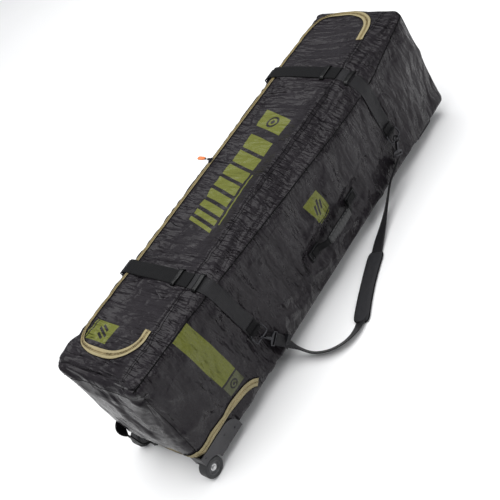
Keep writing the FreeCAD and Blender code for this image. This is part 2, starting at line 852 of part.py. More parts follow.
def make_buckles():
    """Side-release buckles: the socket half on the anchor strap, the pronged half on the lid strap."""
    for name in STRAPS:
        centre_x = value(f"dim.{name}_strap_x")
        socket_place = Placement(Vector(centre_x, value("dim.buckle_y"), 0), Rotation())
        shell = new_body(f"{name}_socket_body", socket_place)
        front = new_sketch(shell, "XZ_Plane", f"{name}_socket_front")
        outline(front, [(-29, 371), (29, 371), (30, 386), (28, 432), (-28, 432), (-30, 386)])
        body = shell.newObject("PartDesign::Pad", f"{name}_socket_pad")
        body.Profile = front
        body.Length = 14
        body.Reversed = True
        doc.recompute()
        mouth = new_sketch(shell, "XY_Plane", f"{name}_socket_mouth")
        mouth.AttachmentOffset = Placement(Vector(0, 0, 396), Rotation())
        outline(mouth, [(-24.5, 1.6), (24.5, 1.6), (24.5, 12.2), (-24.5, 12.2)])
        cavity = shell.newObject("PartDesign::Pocket", f"{name}_socket_cavity")
        cavity.Profile = mouth
        cavity.Length = 60
        cavity.Reversed = True
        before = shell.Shape.Volume
        doc.recompute()
        if shell.Shape.Volume > before - 1000:
            raise RuntimeError("the buckle's socket is not open")
        slot = new_sketch(shell, "XZ_Plane", f"{name}_socket_slot")
        outline(slot, [(-25.5, 375), (25.5, 375), (25.5, 380), (-25.5, 380)])
        pocket_through(shell, slot, f"{name}_socket_bar")
        keep(shell, f"{name}_buckle_socket")

        prongs = new_body(
            f"{name}_prong_body", Placement(Vector(centre_x, value("dim.buckle_y") + 1.9, 0), Rotation())
        )
        face = new_sketch(prongs, "XZ_Plane", f"{name}_prong_face")
        outline(
            face,
            [
                (-27, 434), (-22, 434), (-23.5, 416), (-19, 403), (-15, 406), (-14, 434), (-3, 434), (
                    -2.5, 408
                ),
                (2.5, 408), (3, 434), (14, 434), (15, 406), (19, 403), (23.5, 416), (22, 434), (27, 434),
                (27, 456), (-27, 456),
            ],
        )
        pads = prongs.newObject("PartDesign::Pad", f"{name}_prong_pad")
        pads.Profile = face
        pads.Length = 4
        pads.Reversed = True
        doc.recompute()
        bar = new_sketch(prongs, "XZ_Plane", f"{name}_prong_slots")
        outline(bar, [(-25, 439), (25, 439), (25, 443), (-25, 443)])
        pocket_through(prongs, bar, f"{name}_prong_lower_slot")
        upper_bar = new_sketch(prongs, "XZ_Plane", f"{name}_prong_upper")
        outline(upper_bar, [(-25, 448), (25, 448), (25, 452), (-25, 452)])
        pocket_through(prongs, upper_bar, f"{name}_prong_upper_slot")
        keep(prongs, f"{name}_buckle_prongs")


# ---------------------------------------------------------------- handles, rings and hooks


def make_side_handle():
    z = value("dim.handle_z")
    middle = value("dim.handle_middle_x")
    reach = value(HALF_WIDTH)
    patches = []
    for way in (-1, 1):
        box_shape = Part.makeBox(58, 2, 40, Vector(middle + way * 116 - 29, -reach - 2, z - 20))
        patches.append(box_shape)
    shape_piece("side_handle_patches", Part.makeCompound(patches))

    strap = new_body("side_handle_strap_body", Placement(Vector(middle, 0, z), Rotation()))
    plan = new_sketch(strap, "XY_Plane", "side_handle_plan")
    near, far = -(reach + 9), -(reach + 30)
    outline(
        plan,
        [
            (-108, near), (-108, near - 3), (-90, near - 3), (-72, far - 3), (72, far - 3), (90, near - 3),
            (108, near - 3), (108, near), (88, near), (70, far), (-70, far), (-88, near),
        ],
    )
    pad(strap, plan, 12, "side_handle_pad", midplane=True)
    keep(strap, "side_handle_strap")

    grip = new_body("side_handle_grip_body", Placement(Vector(middle, far - 1.5, z), Rotation()))
    section = new_sketch(grip, "YZ_Plane", "side_handle_grip_section")
    outline(section, [(-7, -18), (7, -18), (7, 18), (-7, 18)])
    sleeve = pad(grip, section, 130, "side_handle_grip_pad", midplane=True)
    fillet_edges(grip, sleeve, 6, "side_handle_grip_round", lambda e: e.BoundBox.XLength > 100)
    channel = new_sketch(grip, "YZ_Plane", "side_handle_grip_channel")
    outline(channel, [(-1.55, -6.05), (1.55, -6.05), (1.55, 6.05), (-1.55, 6.05)])
    pocket_through(grip, channel, "side_handle_grip_hole")
    keep(grip, "side_handle_grip")


def handle_loop(label, place, half, rise, width):
    """A webbing loop with two sewn feet that stands off a panel."""
    loop = new_body(f"{label}_body", place)
    plan = new_sketch(loop, "XY_Plane", f"{label}_plan")
    inner = rise - 2.5
    outline(
        plan,
        [
            (-half - 18, 0), (-half - 18, 2.5), (-half + 2, 2.5), (-half + 22, rise), (half - 22, rise),
            (half - 2, 2.5), (half + 18, 2.5), (half + 18, 0), (half - 4, 0), (half - 24, inner),
            (24 - half, inner), (4 - half, 0),
        ],
    )
    pad(loop, plan, width, f"{label}_pad", midplane=True)
    keep(loop, label)


def make_end_handles():
    """Webbing loops: one across the lower corner of the wheel end, one across the middle of the far end."""
    start = Vector(0, 146, 176)
    finish = Vector(0, 74, 66)
    middle = (start + finish) * 0.5
    reach = value(HALF_LENGTH)
    angle = math.degrees(math.atan2(finish.z - start.z, finish.y - start.y))
    slant = Rotation(X_AXIS, angle).multiply(Rotation(Z_AXIS, 90))
    handle_loop(
        "end_handle_webbing",
        Placement(Vector(-reach, middle.y, middle.z), slant),
        (finish - start).Length / 2,
        31,
        38,
    )
    level = Rotation(Z_AXIS, -90)
    handle_loop("far_end_handle", Placement(Vector(reach, 0, 250), level), 90, 31, 38)


HOOK_TILT = {"lower": -30, "upper": 30}
HOOK_LENGTH = 60
RING_DROP = 30
RING_TOP_Y = -189
RING_BOTTOM_Y = -199


def hook_place(name):
    centre = Vector(value(f"dim.{name}_ring_x"), RING_BOTTOM_Y, value(f"dim.{name}_ring_z") - RING_DROP)
    return Placement(centre, Rotation(Y_AXIS, HOOK_TILT[name]))


def make_rings():
    """Wire rings at the lower ends of the compression straps, each held in a fold of webbing."""
    rings, folds = [], []
    for name in STRAPS:
        x = value(f"dim.{name}_ring_x")
        z = value(f"dim.{name}_ring_z")
        lean = math.degrees(math.atan2(RING_TOP_Y - RING_BOTTOM_Y, RING_DROP))
        height = math.hypot(RING_TOP_Y - RING_BOTTOM_Y, RING_DROP)
        middle = Vector(x, (RING_TOP_Y + RING_BOTTOM_Y) / 2, z - RING_DROP / 2)
        rings.append(tube(rounded_loop(56, height, 8, Placement(middle, Rotation(X_AXIS, -lean))), 2.5))

        fold = block(f"{name}_fold_block", (x - 22, x + 22), (-196, -182), (z - 7, z + 7))
        soft = rounded(f"{name}_fold_round", fold, X_AXIS, 5)
        hole = rod(f"{name}_fold_hole", 3.2, x - 30, RING_TOP_Y, z, 60, "X")
        folds.append(cut(f"{name}_fold_cut", soft, hole))
    shape_piece("strap_rings", Part.makeCompound(rings))
    both = doc.addObject("Part::Compound", "fold_pair")
    both.Links = folds
    keep(both, "ring_folds")


def make_hooks():
    """Snap hooks that hang on the rings, each with a sprung gate."""
    for name in STRAPS:
        hook = new_body(f"{name}_hook_body", hook_place(name))
        side = new_sketch(hook, "YZ_Plane", f"{name}_hook_side")
        circle(side, 0, 0, 12)
        circle(side, 0, 0, 8)
        pad(hook, side, 5, f"{name}_hook_ring", midplane=True)
        gap = new_sketch(hook, "YZ_Plane", f"{name}_hook_gap")
        outline(gap, [(-14, -5.5), (-4, -5.5), (-4, 5.5), (-14, 5.5)])
        pocket_through(hook, gap, f"{name}_hook_mouth")
        stem = new_sketch(hook, "YZ_Plane", f"{name}_hook_stem")
        outline(stem, [(-4, -11), (4, -11), (4, -44), (-4, -44)])
        pad(hook, stem, 8, f"{name}_hook_neck", midplane=True)
        eye = new_sketch(hook, "XZ_Plane", f"{name}_hook_eye")
        outline(eye, [(-23, -HOOK_LENGTH), (23, -HOOK_LENGTH), (23, -44), (7, -38), (-7, -38), (-23, -44)])
        pad(hook, eye, 5, f"{name}_hook_eye_plate", midplane=True)
        slot = new_sketch(hook, "XZ_Plane", f"{name}_hook_slot")
        outline(slot, [(-19.5, -56), (19.5, -56), (19.5, -48), (-19.5, -48)])
        pocket_through(hook, slot, f"{name}_hook_slot_cut")
        keep(hook, f"{name}_snap_hook")

        gate = new_body(f"{name}_gate_body", hook_place(name))
        lever = new_sketch(gate, "YZ_Plane", f"{name}_gate_side")
        outline(lever, [(-11.2, -3.9), (-8.4, -3.9), (-8.4, 5.1), (-11.2, 5.1)])
        pad(gate, lever, 4, f"{name}_gate_pad", midplane=True)
        keep(gate, f"{name}_hook_gate")


# ---------------------------------------------------------------- shoulder strap

# From the upper hook's eye, down the side of the bag to the floor, through the pad, round on the
# floor and up to the lower hook's eye.
UPPER_ROUTE = [
    Vector(432, -199, 104.5),
    Vector(399, -202, 97),
    Vector(365, -205, 90),
    Vector(329, -208, 79),
    Vector(289, -213, 56),
    Vector(243, -219, 31),
    Vector(192, -228, 14),
    Vector(142, -241, 7.5),
    Vector(103, -253, 7),
]
LOWER_ROUTE = [
    Vector(-160, -346, 7),
    Vector(-197, -350, 6.5),
    Vector(-238, -337, 6.5),
    Vector(-273, -309, 6.5),
    Vector(-296, -274, 8),
    Vector(-307, -240, 18),
    Vector(-315, -215, 42),
    Vector(-325, -204, 73),
    Vector(-339, -200, 104),
    Vector(-354.6, -199, 132.4),
]


def make_shoulder_strap():
    radius = value("dim.strap_radius")
    for label, points in (("strap_webbing_upper", UPPER_ROUTE), ("strap_webbing_lower", LOWER_ROUTE)):
        print(label)
        shape_piece(label, tube(arc_route(points), radius))

    start, finish = UPPER_ROUTE[-1], LOWER_ROUTE[0]
    along = finish - start
    turn = math.degrees(math.atan2(along.y, along.x))
    length = along.Length - 3.6
    middle = (start + finish) * 0.5
    cushion = new_body(
        "shoulder_pad_body", Placement(Vector(middle.x, middle.y, 0.6), Rotation(Z_AXIS, turn))
    )
    plan = new_sketch(cushion, "XY_Plane", "shoulder_pad_plan")
    half, wide = length / 2, "dim.pad_width / 2"
    outline(
        plan,
        [
            (-half, f"-({wide}) + 14"),
            (-half + 14, f"-({wide})"),
            (half - 14, f"-({wide})"),
            (half, f"-({wide}) + 14"),
            (half, f"{wide} - 14"),
            (half - 14, wide),
            (14 - half, wide),
            (-half, f"{wide} - 14"),
        ],
    )
    slab = pad(cushion, plan, "dim.pad_wall", "shoulder_pad_slab")
    fillet_edges(cushion, slab, 4, "shoulder_pad_edges", lambda e: e.BoundBox.ZLength < 0.01)
    keep(cushion, "shoulder_pad")

    low, high = LOWER_ROUTE[-3], LOWER_ROUTE[-2]
    heading = (high - low).normalize()
    spot = low + heading * ((high - low).Length * 0.5)
    across = Vector(0, 1, 0).cross(heading).normalize()
    frame = Placement(spot, Rotation(across, Vector(), heading, "ZXY"))
    clip = Part.makeBox(46, 15, 14, Vector(-23, -7.5, -7))
    clip = clip.cut(Part.makeCylinder(radius + 0.15, 20, Vector(0, 0, -10)))
    shape_piece("strap_adjuster", clip, frame)


def make_piping():
    """The corded seam between the opening side and the handle side, broken where the straps cross it."""
    reach = value(INNER_LENGTH)
    half = value("dim.webbing_width") / 2 + 7
    low, high = value("dim.lower_strap_x"), value("dim.upper_strap_x")
    y, z = -value(HALF_WIDTH) - 2, value(TOP) - 35
    spans = ((-reach, low - half), (low + half, high - half), (high + half, reach))
    cords = [Part.makeCylinder(2, end - start, Vector(start, y, z), X_AXIS) for start, end in spans]
    shape_piece("seam_piping", Part.makeCompound(cords))


make_panels()
make_top_border()
make_lid()
make_corner_guards()
make_wheels()
make_fasteners()
make_skid_rails()
make_base_zip()
make_sliders()
make_straps()
make_keepers()
make_buckles()
make_side_handle()
make_end_handles()
make_rings()
make_hooks()
make_shoulder_strap()
make_piping()
doc.recompute()

for piece in doc.Objects:
    if "Invalid" in piece.State or "Error" in piece.State:
        raise RuntimeError(f"{piece.Label} failed: {piece.State}")
os.makedirs("parts", exist_ok=True)
for piece in finished:
    if piece.Shape.isNull() or not piece.Shape.isValid():
        raise RuntimeError(f"{piece.Label} has no valid shape")
    if not piece.Shape.Solids:
        raise RuntimeError(f"{piece.Label} has no solid")
for piece in finished:
    piece.Shape.exportStep(f"parts/{piece.Label}.step")
print(f"{len(finished)} sub-parts written")
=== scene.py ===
import json
import math

import bpy
import bmesh
import numpy as np
from mathutils import Matrix, Vector, noise
from mathutils.bvhtree import BVHTree


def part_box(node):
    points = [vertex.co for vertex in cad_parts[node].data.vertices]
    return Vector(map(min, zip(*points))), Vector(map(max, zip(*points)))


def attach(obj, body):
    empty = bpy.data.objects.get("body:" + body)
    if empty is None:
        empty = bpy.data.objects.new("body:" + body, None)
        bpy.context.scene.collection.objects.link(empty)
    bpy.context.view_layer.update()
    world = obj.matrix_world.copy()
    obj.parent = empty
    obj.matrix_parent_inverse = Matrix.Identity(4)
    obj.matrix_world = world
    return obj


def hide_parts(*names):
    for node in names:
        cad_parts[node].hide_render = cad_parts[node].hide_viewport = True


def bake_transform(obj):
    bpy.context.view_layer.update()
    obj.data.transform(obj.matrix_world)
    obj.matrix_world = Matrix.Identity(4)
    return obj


# A wheeled board bag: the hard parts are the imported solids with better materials. The sewn shell, zips,
# webbing, handles and the shoulder strap are modelled here round them. Metres throughout.

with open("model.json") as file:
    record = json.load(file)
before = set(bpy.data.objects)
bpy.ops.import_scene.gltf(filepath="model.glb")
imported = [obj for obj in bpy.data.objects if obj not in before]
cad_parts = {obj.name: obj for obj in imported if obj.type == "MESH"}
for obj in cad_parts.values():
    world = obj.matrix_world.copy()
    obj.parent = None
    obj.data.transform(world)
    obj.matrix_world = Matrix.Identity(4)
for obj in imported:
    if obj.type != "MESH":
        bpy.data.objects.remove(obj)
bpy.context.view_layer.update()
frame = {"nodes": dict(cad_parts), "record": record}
bpy.context.view_layer.update()

# ---- sizes from the frame ----


def span(node, axis):
    """Both ends of a node's box along an axis, to a tenth of a millimetre."""
    low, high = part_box(node)
    return round(low[axis], 4), round(high[axis], 4)


def middle_of(node):
    """The middle of a node's box."""
    low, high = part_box(node)
    return (low + high) / 2


X, Y, Z = 0, 1, 2
HALF_X = -span("wheel_end_panel", X)[0]
HALF_Y = span("wheel_end_panel", Y)[1]
BASE_Z, TOP_Z = span("wheel_end_panel", Z)
HINGE_Y = span("hinge_side_strip", Y)[1]
WEBBING = round(np.ptp(span("lower_lid_strap", X)), 4)
RING_DROP = 0.012


def strap_places(name):
    """A compression strap's x on the lid, its x at the ring and the ring's height."""
    top_x = round(sum(span(f"{name}_lid_strap", X)) / 2, 4)
    side_x = round(span(f"{name}_side_strap", X)[1] - WEBBING / 2, 4)
    ring_z = round(span(f"{name}_side_strap", Z)[0] + RING_DROP, 4)
    return top_x, side_x, ring_z


STRAPS = {name: strap_places(name) for name in ("lower", "upper")}
TRAVEL = {row["name"]: row["range_m"] for row in frame["record"]["behaviour"]["joints"] if "range_m" in row}

UP = np.array([0.0, 0.0, 1.0])
RIGHT = np.array([0.0, -1.0, 0.0])
LEFT = np.array([0.0, 1.0, 0.0])
FORWARD = np.array([1.0, 0.0, 0.0])
WHEEL_END = np.array([-1.0, 0.0, 0.0])

# ---- camera ----

CAMERA_PLACE = Vector((-1.2240, -1.9814, 1.9979))
CAMERA_AIM = Vector((0.38180, 0.69254, -0.61206))
CAMERA_UP = Vector((0.76167, 0.13935, 0.63281))
CAMERA_LENS, CAMERA_SENSOR = 64.22, 36


def make_camera():
    """The fitted camera: its place, its line of sight and its upward direction."""
    data = bpy.data.cameras.new("camera")
    data.lens, data.sensor_width = CAMERA_LENS, CAMERA_SENSOR
    camera = bpy.data.objects.new("camera", data)
    side_axis = CAMERA_AIM.cross(CAMERA_UP).normalized()
    up_axis = side_axis.cross(CAMERA_AIM).normalized()
    turn = Matrix((side_axis, up_axis, -CAMERA_AIM.normalized())).transposed().to_4x4()
    camera.matrix_world = Matrix.Translation(CAMERA_PLACE) @ turn
    bpy.context.collection.objects.link(camera)
    bpy.context.scene.camera = camera
    bpy.context.scene.view_settings.view_transform = "Standard"


make_camera()

# ---- lines of points ----

LINE_STEP = 0.004
CURVE_PARTS = 24


def unit(rows):
    return rows / np.maximum(np.linalg.norm(rows, axis=-1, keepdims=True), 1e-9)


def tangents(rows):
    return unit(np.gradient(rows, axis=0))


def distances(rows):
    """How far along a polyline each of its points is."""
    return np.concatenate([[0], np.cumsum(np.linalg.norm(np.diff(rows, axis=0), axis=1))])


def even(rows, step):
    """The same polyline with evenly spaced points."""
    lengths = distances(rows)
    count = max(2, int(round(lengths[-1] / step)) + 1)
    at = np.linspace(0, lengths[-1], count)
    return np.column_stack([np.interp(at, lengths, rows[:, k]) for k in range(rows.shape[1])])


def smooth_path(points, step):
    """Evenly spaced points on a Catmull-Rom curve through given points."""
    rows = np.array(points, float)
    padded = np.vstack([rows[0] * 2 - rows[1], rows, rows[-1] * 2 - rows[-2]])
    dense = []
    for a, b, c, d in zip(padded, padded[1:], padded[2:], padded[3:]):
        for t in np.linspace(0, 1, CURVE_PARTS, endpoint=False):
            bend, twist = 2 * a - 5 * b + 4 * c - d, 3 * b - a - 3 * c + d
            dense.append(0.5 * ((2 * b) + (c - a) * t + bend * t**2 + twist * t**3))
    dense.append(rows[-1])
    return even(np.array(dense), step)


def relax(rows, times):
    """Softens a line or a grid of points and leaves its first and last row."""
    for _ in range(times):
        rows[1:-1] = (rows[:-2] + rows[1:-1] * 2 + rows[2:]) / 4
    return rows


def arc(start, end, count):
    """The cosine and sine of evenly spaced angles, in degrees."""
    return [(math.cos(turn), math.sin(turn)) for turn in map(math.radians, np.linspace(start, end, count))]


def falloff(distance, reach):
    return np.exp(-((distance / reach) ** 2))


def ease(values, low, high):
    t = np.clip((values - low) / (high - low), 0, 1)
    return t * t * (3 - 2 * t)


# ---- meshes ----


def add_mesh(name, points, faces, material, smooth=True, attributes=None):
    """A mesh object from points in metres; attributes are named lists of vectors, one per point."""
    mesh = bpy.data.meshes.new(name)
    mesh.from_pydata([tuple(p) for p in points], [], [tuple(f) for f in faces])
    for key, rows in (attributes or {}).items():
        store = mesh.attributes.new(key, "FLOAT_VECTOR", "POINT")
        store.data.foreach_set("vector", np.asarray(rows, np.float32).ravel())
    mesh.validate()
    if smooth:
        mesh.shade_smooth()
    if material:
        mesh.materials.append(material)
    piece = bpy.data.objects.new(name, mesh)
    bpy.context.collection.objects.link(piece)
    return piece


def baked_mesh(piece):
    """A mesh of an object as it looks with its modifiers or its curve's settings."""
    bpy.context.view_layer.update()
    graph = bpy.context.evaluated_depsgraph_get()
    shown = piece.evaluated_get(graph)
    return bpy.data.meshes.new_from_object(shown, preserve_all_data_layers=True, depsgraph=graph)


def fix_normals(piece):
    """Turns every face of a closed mesh outward."""
    shell = bmesh.new()
    shell.from_mesh(piece.data)
    bmesh.ops.recalc_face_normals(shell, faces=shell.faces)
    shell.to_mesh(piece.data)
    shell.free()


def join(name, pieces):
    """One object from several."""
    bpy.ops.object.select_all(action="DESELECT")
    for piece in pieces:
        piece.select_set(True)
    bpy.context.view_layer.objects.active = pieces[0]
    bpy.ops.object.join()
    whole = bpy.context.view_layer.objects.active
    whole.name = name
    whole.data.name = name
    return whole


def strip_faces(rows, columns):
    """The faces of a thin strip whose upper grid of points is followed by its lower one."""
    faces = []
    stride = columns + 1
    bottom = rows * stride
    for row in range(rows - 1):
        left, right = row * stride, row * stride + columns
        for a in range(left, right):
            faces.append((a, a + 1, a + stride + 1, a + stride))
            faces.append((bottom + a, bottom + a + stride, bottom + a + stride + 1, bottom + a + 1))
        faces.append((left, left + stride, bottom + left + stride, bottom + left))
        faces.append((right, bottom + right, bottom + right + stride, right + stride))
    for row, turn in ((0, 1), (rows - 1, -1)):
        for a in range(row * stride, row * stride + columns):
            faces.append((a, bottom + a, bottom + a + 1, a + 1)[::turn])
    return faces


def add_strip(name, upper, lower, middle, width, material):
    """A thin strip from two grids of points; "weave" keeps each point's place along and across it."""
    rows, columns = upper.shape[0], upper.shape[1] - 1
    along = distances(middle)
    weave = []
    for layer in (0.0, 1.0):
        for row in range(rows):
            for column in range(columns + 1):
                share = column / columns * 2 - 1
                weave.append((along[row], share * width[row] / 2, layer))
    points = np.vstack([upper.reshape(-1, 3), lower.reshape(-1, 3)])
    piece = add_mesh(name, points, strip_faces(rows, columns), material, attributes={"weave": weave})
    fix_normals(piece)
    return piece


def slab(name, middle, across, normals, width, thickness, material, columns=6):
    """A flat strip of webbing along a line: across points over its width and normals out of its face."""
    share = (np.arange(columns + 1) / columns * 2 - 1)[None, :, None]
    grid = middle[:, None] + across[:, None] * (share * width / 2)
    lift = normals[:, None] * (thickness * 0.5)
    return add_strip(name, grid + lift, grid - lift, middle, np.full(len(middle), width), material)


def webbing_along(name, line, across, width, thickness, material, columns=6):
    """Webbing along a line with its width in one fixed direction."""
    across = np.tile(across, (len(line), 1))
    normals = unit(np.cross(across, tangents(line)))
    return slab(name, line, across, normals, width, thickness, material, columns)


def circle(sides):
    """The cosine and sine of each corner of an even polygon."""
    angles = [2 * math.pi * side / sides for side in range(sides)]
    return [(math.cos(angle), math.sin(angle)) for angle in angles]


def tube_faces(count, sides, closed=False):
    """The faces between rings of points, in a closed loop or with a cap at both ends."""
    faces = []
    for row in range(count if closed else count - 1):
        start, after = row * sides, (row + 1) % count * sides
        for side in range(sides):
            beside = (side + 1) % sides
            faces.append((start + side, after + side, after + beside, start + beside))
    if not closed:
        faces.append(tuple(range(sides))[::-1])
        faces.append(tuple(range((count - 1) * sides, count * sides)))
    return faces


def tube(name, line, radius, material, sides=8, closed=False):
    """A round cord along a line of points."""
    rows = np.asarray(line, float)
    heading = tangents(rows)
    if closed:
        heading = unit(np.roll(rows, -1, axis=0) - np.roll(rows, 1, axis=0))
    points = []
    across = np.cross(heading[0], UP if abs(heading[0][2]) < 0.9 else FORWARD)
    for place, along in zip(rows, heading):
        across = across - along * np.dot(across, along)
        across = across / np.linalg.norm(across)
        other = np.cross(along, across)
        points += [place + (across * c + other * s) * radius for c, s in circle(sides)]
    return add_mesh(name, points, tube_faces(len(rows), sides, closed), material)


# ---- material helpers ----


def operator(operation):
    """A method that makes a maths node of a value and another value or number."""
    return lambda self, other=0.0: self.nodes.maths(operation, self, other)


class Value:
    """A node's output that can be written in sums, products and comparisons; | is the larger of two."""

    def __init__(self, nodes, socket):
        self.nodes = nodes
        self.socket = socket

    __add__, __sub__, __mul__ = map(operator, ("ADD", "SUBTRACT", "MULTIPLY"))
    __or__, __lt__, __gt__ = map(operator, ("MAXIMUM", "LESS_THAN", "GREATER_THAN"))
    __abs__ = operator("ABSOLUTE")

    def __rsub__(self, other):
        return self.nodes.maths("SUBTRACT", other, self)


class Nodes:
    """Short names for making one material's nodes."""

    def __init__(self, name):
        self.material = bpy.data.materials.new(name)
        self.material.use_nodes = True
        self.tree = self.material.node_tree
        self.shader = self.tree.nodes["Principled BSDF"]

    def put(self, socket, source):
        """Links a value or another node's socket, or sets a number or a colour."""
        if isinstance(source, Value):
            self.tree.links.new(source.socket, socket)
        elif socket.type == "RGBA":
            socket.default_value = (*source, 1)
        else:
            socket.default_value = source

    def make(self, kind, output=0, inputs=None, **settings):
        """One node with its settings and inputs; gives one of its outputs, by number or name."""
        node = self.tree.nodes.new(kind)
        for key, setting in settings.items():
            setattr(node, key, setting)
        for key, source in (inputs or {}).items():
            self.put(node.inputs[key], source)
        return Value(self, node.outputs[output])

    def maths(self, operation, first, second=0.0):
        return self.make("ShaderNodeMath", 0, {0: first, 1: second, 2: 0.0}, operation=operation)

    def attribute(self, name):
        return self.make("ShaderNodeAttribute", "Vector", attribute_name=name, attribute_type="GEOMETRY")

    def split(self, vector):
        """The x, y and z of a vector."""
        node = self.make("ShaderNodeSeparateXYZ", inputs={"Vector": vector}).socket.node
        return [Value(self, output) for output in node.outputs]

    def stretch(self, vector, scale, shift=(0, 0, 0)):
        return self.make("ShaderNodeMapping", inputs={"Vector": vector, "Scale": scale, "Location": shift})

    def noise(self, vector, scale, detail=4.0, roughness=0.5, distortion=0.0):
        inputs = {"Vector": vector, "Scale": scale, "Detail": detail, "Roughness": roughness}
        return self.make("ShaderNodeTexNoise", "Fac", {**inputs, "Distortion": distortion})

    def wave(self, vector, scale, direction="X"):
        inputs = {"Vector": vector, "Scale": scale}
        return self.make("ShaderNodeTexWave", "Fac", inputs, bands_direction=direction)

    def ramp(self, source, *stops):
        colour = self.make("ShaderNodeValToRGB", "Color", {"Fac": source})
        band = colour.socket.node.color_ramp
        for element, (at, shade) in zip(band.elements, stops):
            element.position = at
            element.color = (*shade, 1)
        return colour

    def grey(self, source, low, high, start=0.0, end=1.0):
        """Maps start to low and end to high, and holds both ends."""
        inputs = {"Value": source, "From Min": start, "From Max": end, "To Min": low, "To Max": high}
        return self.make("ShaderNodeMapRange", inputs=inputs)

    def mix(self, share, first, second):
        """A colour between two; the node's colour inputs are 6 and 7 and its colour output is 2."""
        return self.make("ShaderNodeMix", 2, {0: share, 6: first, 7: second}, data_type="RGBA")

    def bump(self, *layers):
        """Each layer is (height, strength, distance in metres)."""
        last = None
        for height, strength, distance in layers:
            inputs = {"Height": height, "Strength": strength, "Distance": distance}
            if last:
                inputs["Normal"] = last
            last = self.make("ShaderNodeBump", inputs=inputs)
        return last

    def finish(self, colour, roughness, normal=None, **constants):
        self.put(self.shader.inputs["Base Color"], colour)
        self.put(self.shader.inputs["Roughness"], roughness)
        if normal:
            self.put(self.shader.inputs["Normal"], normal)
        for key, number in constants.items():
            self.shader.inputs[key.replace("_", " ")].default_value = number
        return self.material


# ---- the printed cloth ----

INK_OLIVE = (0.118, 0.128, 0.026)
INK_DULL = (0.075, 0.080, 0.040)
LID_SLANT, SIDE_SLANT, PATCH_SLANT, SLASH_SLANT = 0.30, -0.06, -0.12, 0.5
BADGE = (0.228, 0.018)
LID_PATCH = (-0.640, 0.080)
SIDE_SQUARE = (-0.547, 0.171)


def bars_mask(axes, bars):
    """1 inside any of some slanted bars. A bar is (middle u, middle v, half u, half v, slant)."""
    u, v = axes
    total = None
    for middle_u, middle_v, half_u, half_v, slant in bars:
        along_v = v - middle_v
        along_u = (u - middle_u) - along_v * slant
        inside = (abs(along_u) < half_u) * (abs(along_v) < half_v)
        total = total | inside if total else inside
    return total


def target_mask(axes, place, radius):
    """1 on a ring and on the dot in it."""
    across, along = axes[0] - place[0], axes[1] - place[1]
    far = across.nodes.maths("SQRT", across * across + along * along)
    ring = (far < radius) * (far > radius * 0.68)
    return ring | (far < radius * 0.34)


def slashes(middle_u, middle_v, half_u, half_v):
    """Three parallel slanted bars, the outer two shorter."""
    step = half_u * 3.2
    lengths = ((-1, 0.6), (0, 1), (1, 0.6))
    return [(middle_u + k * step, middle_v, half_u, half_v * share, SLASH_SLANT) for k, share in lengths]


def growing_bars():
    """Eight slanted bars across the lid, each wider than the one before it."""
    bars = []
    start, gap, first_width, growth = -0.214, 0.013, 0.014, 0.006
    for number in range(8):
        width = first_width + growth * number
        bars.append((start + width / 2, 0.018, width / 2, 0.062, LID_SLANT))
        start += width + gap
    return bars


def lid_print(top):
    """The lid's bars, their hem, the badge and the patch at the wheel end."""
    badge = [(*BADGE, 0.036, 0.064, LID_SLANT)]
    hem = [(-0.10, -0.060, 0.10, 0.0035, 0.0)]
    patch = [(*LID_PATCH, 0.034, 0.044, 0.0), (LID_PATCH[0], 0.131, 0.034, 0.0025, 0.0)]
    ink = bars_mask(top, growing_bars() + badge + hem + patch)
    badge_marks = target_mask(top, BADGE, 0.024)
    return ink * (1.0 - (badge_marks | bars_mask(top, slashes(LID_PATCH[0], 0.078, 0.0045, 0.024))))


def side_print(side):
    """The bright band and patch on the handle side, and the dull square under the band."""
    band = bars_mask(side, [(-0.557, 0.325, 0.035, 0.122, SIDE_SLANT)])
    square = bars_mask(side, [(*SIDE_SQUARE, 0.034, 0.024, SIDE_SLANT)])
    patch = bars_mask(side, [(0.046, 0.288, 0.036, 0.042, PATCH_SLANT), (0.050, 0.238, 0.030, 0.0025, 0.0)])
    bright = (band | patch) * (1.0 - bars_mask(side, slashes(0.046, 0.286, 0.0045, 0.022)))
    return bright, square * (1.0 - target_mask(side, SIDE_SQUARE, 0.016))


def near_half(lines, reach):
    """1 where a noise is at its middle value, falling to 0 within a reach: thin winding lines."""
    return lines.nodes.grey(abs(lines - 0.5), 1.0, 0.0, 0.0, reach)


def nylon_relief(n, flat, z):
    """Folds and creases in the cloth, strongest where the mesh's "gather" attribute is high."""
    gather, pulled, _ = n.split(n.attribute("gather"))
    tight = gather | pulled
    broad = n.noise(n.stretch(flat, (1.0, 0.8, 0.55)), 11.0, 1.5, 0.45, 0.9)
    folds = n.noise(n.stretch(flat, (1.0, 0.20, 0.30)), 34.0, 2.0, 0.45, 0.45)
    small = n.noise(n.stretch(flat, (1.0, 0.32, 0.45)), 80.0, 2.0, 0.5, 0.6)
    crest = near_half(n.noise(n.stretch(flat, (0.9, 0.45, 0.5)), 26.0, 1.0, 0.4, 0.8), 0.10)
    long_lines = n.stretch(flat, (1.0, 0.22, 0.22), (3.0, 1.0, 2.0))
    creases = near_half(n.noise(long_lines, 30.0, 1.0, 0.4, 0.5), 0.055)
    pleats = n.noise(n.stretch(flat, (1.0, 0.16, 0.16)), 95.0, 1.5, 0.5, 0.3)
    grid = n.wave(flat, 95.0, "X") | (n.wave(flat, 95.0, "Y") | n.wave(flat, 95.0, "Z"))
    return n.bump(
        (broad * n.grey(z, 1.0, 0.1, TOP_Z - 0.09, TOP_Z), 0.9, 0.045),
        (folds, 0.85, 0.018),
        (small, 0.5, 0.0048),
        (crest * n.grey(tight, 0.30, 1.0), 0.6, 0.0028),
        (creases * n.grey(tight, 0.12, 1.0), 0.7, 0.0036),
        (pleats * tight, 0.9, 0.0090),
        (grid, 0.04, 0.0002),
    )


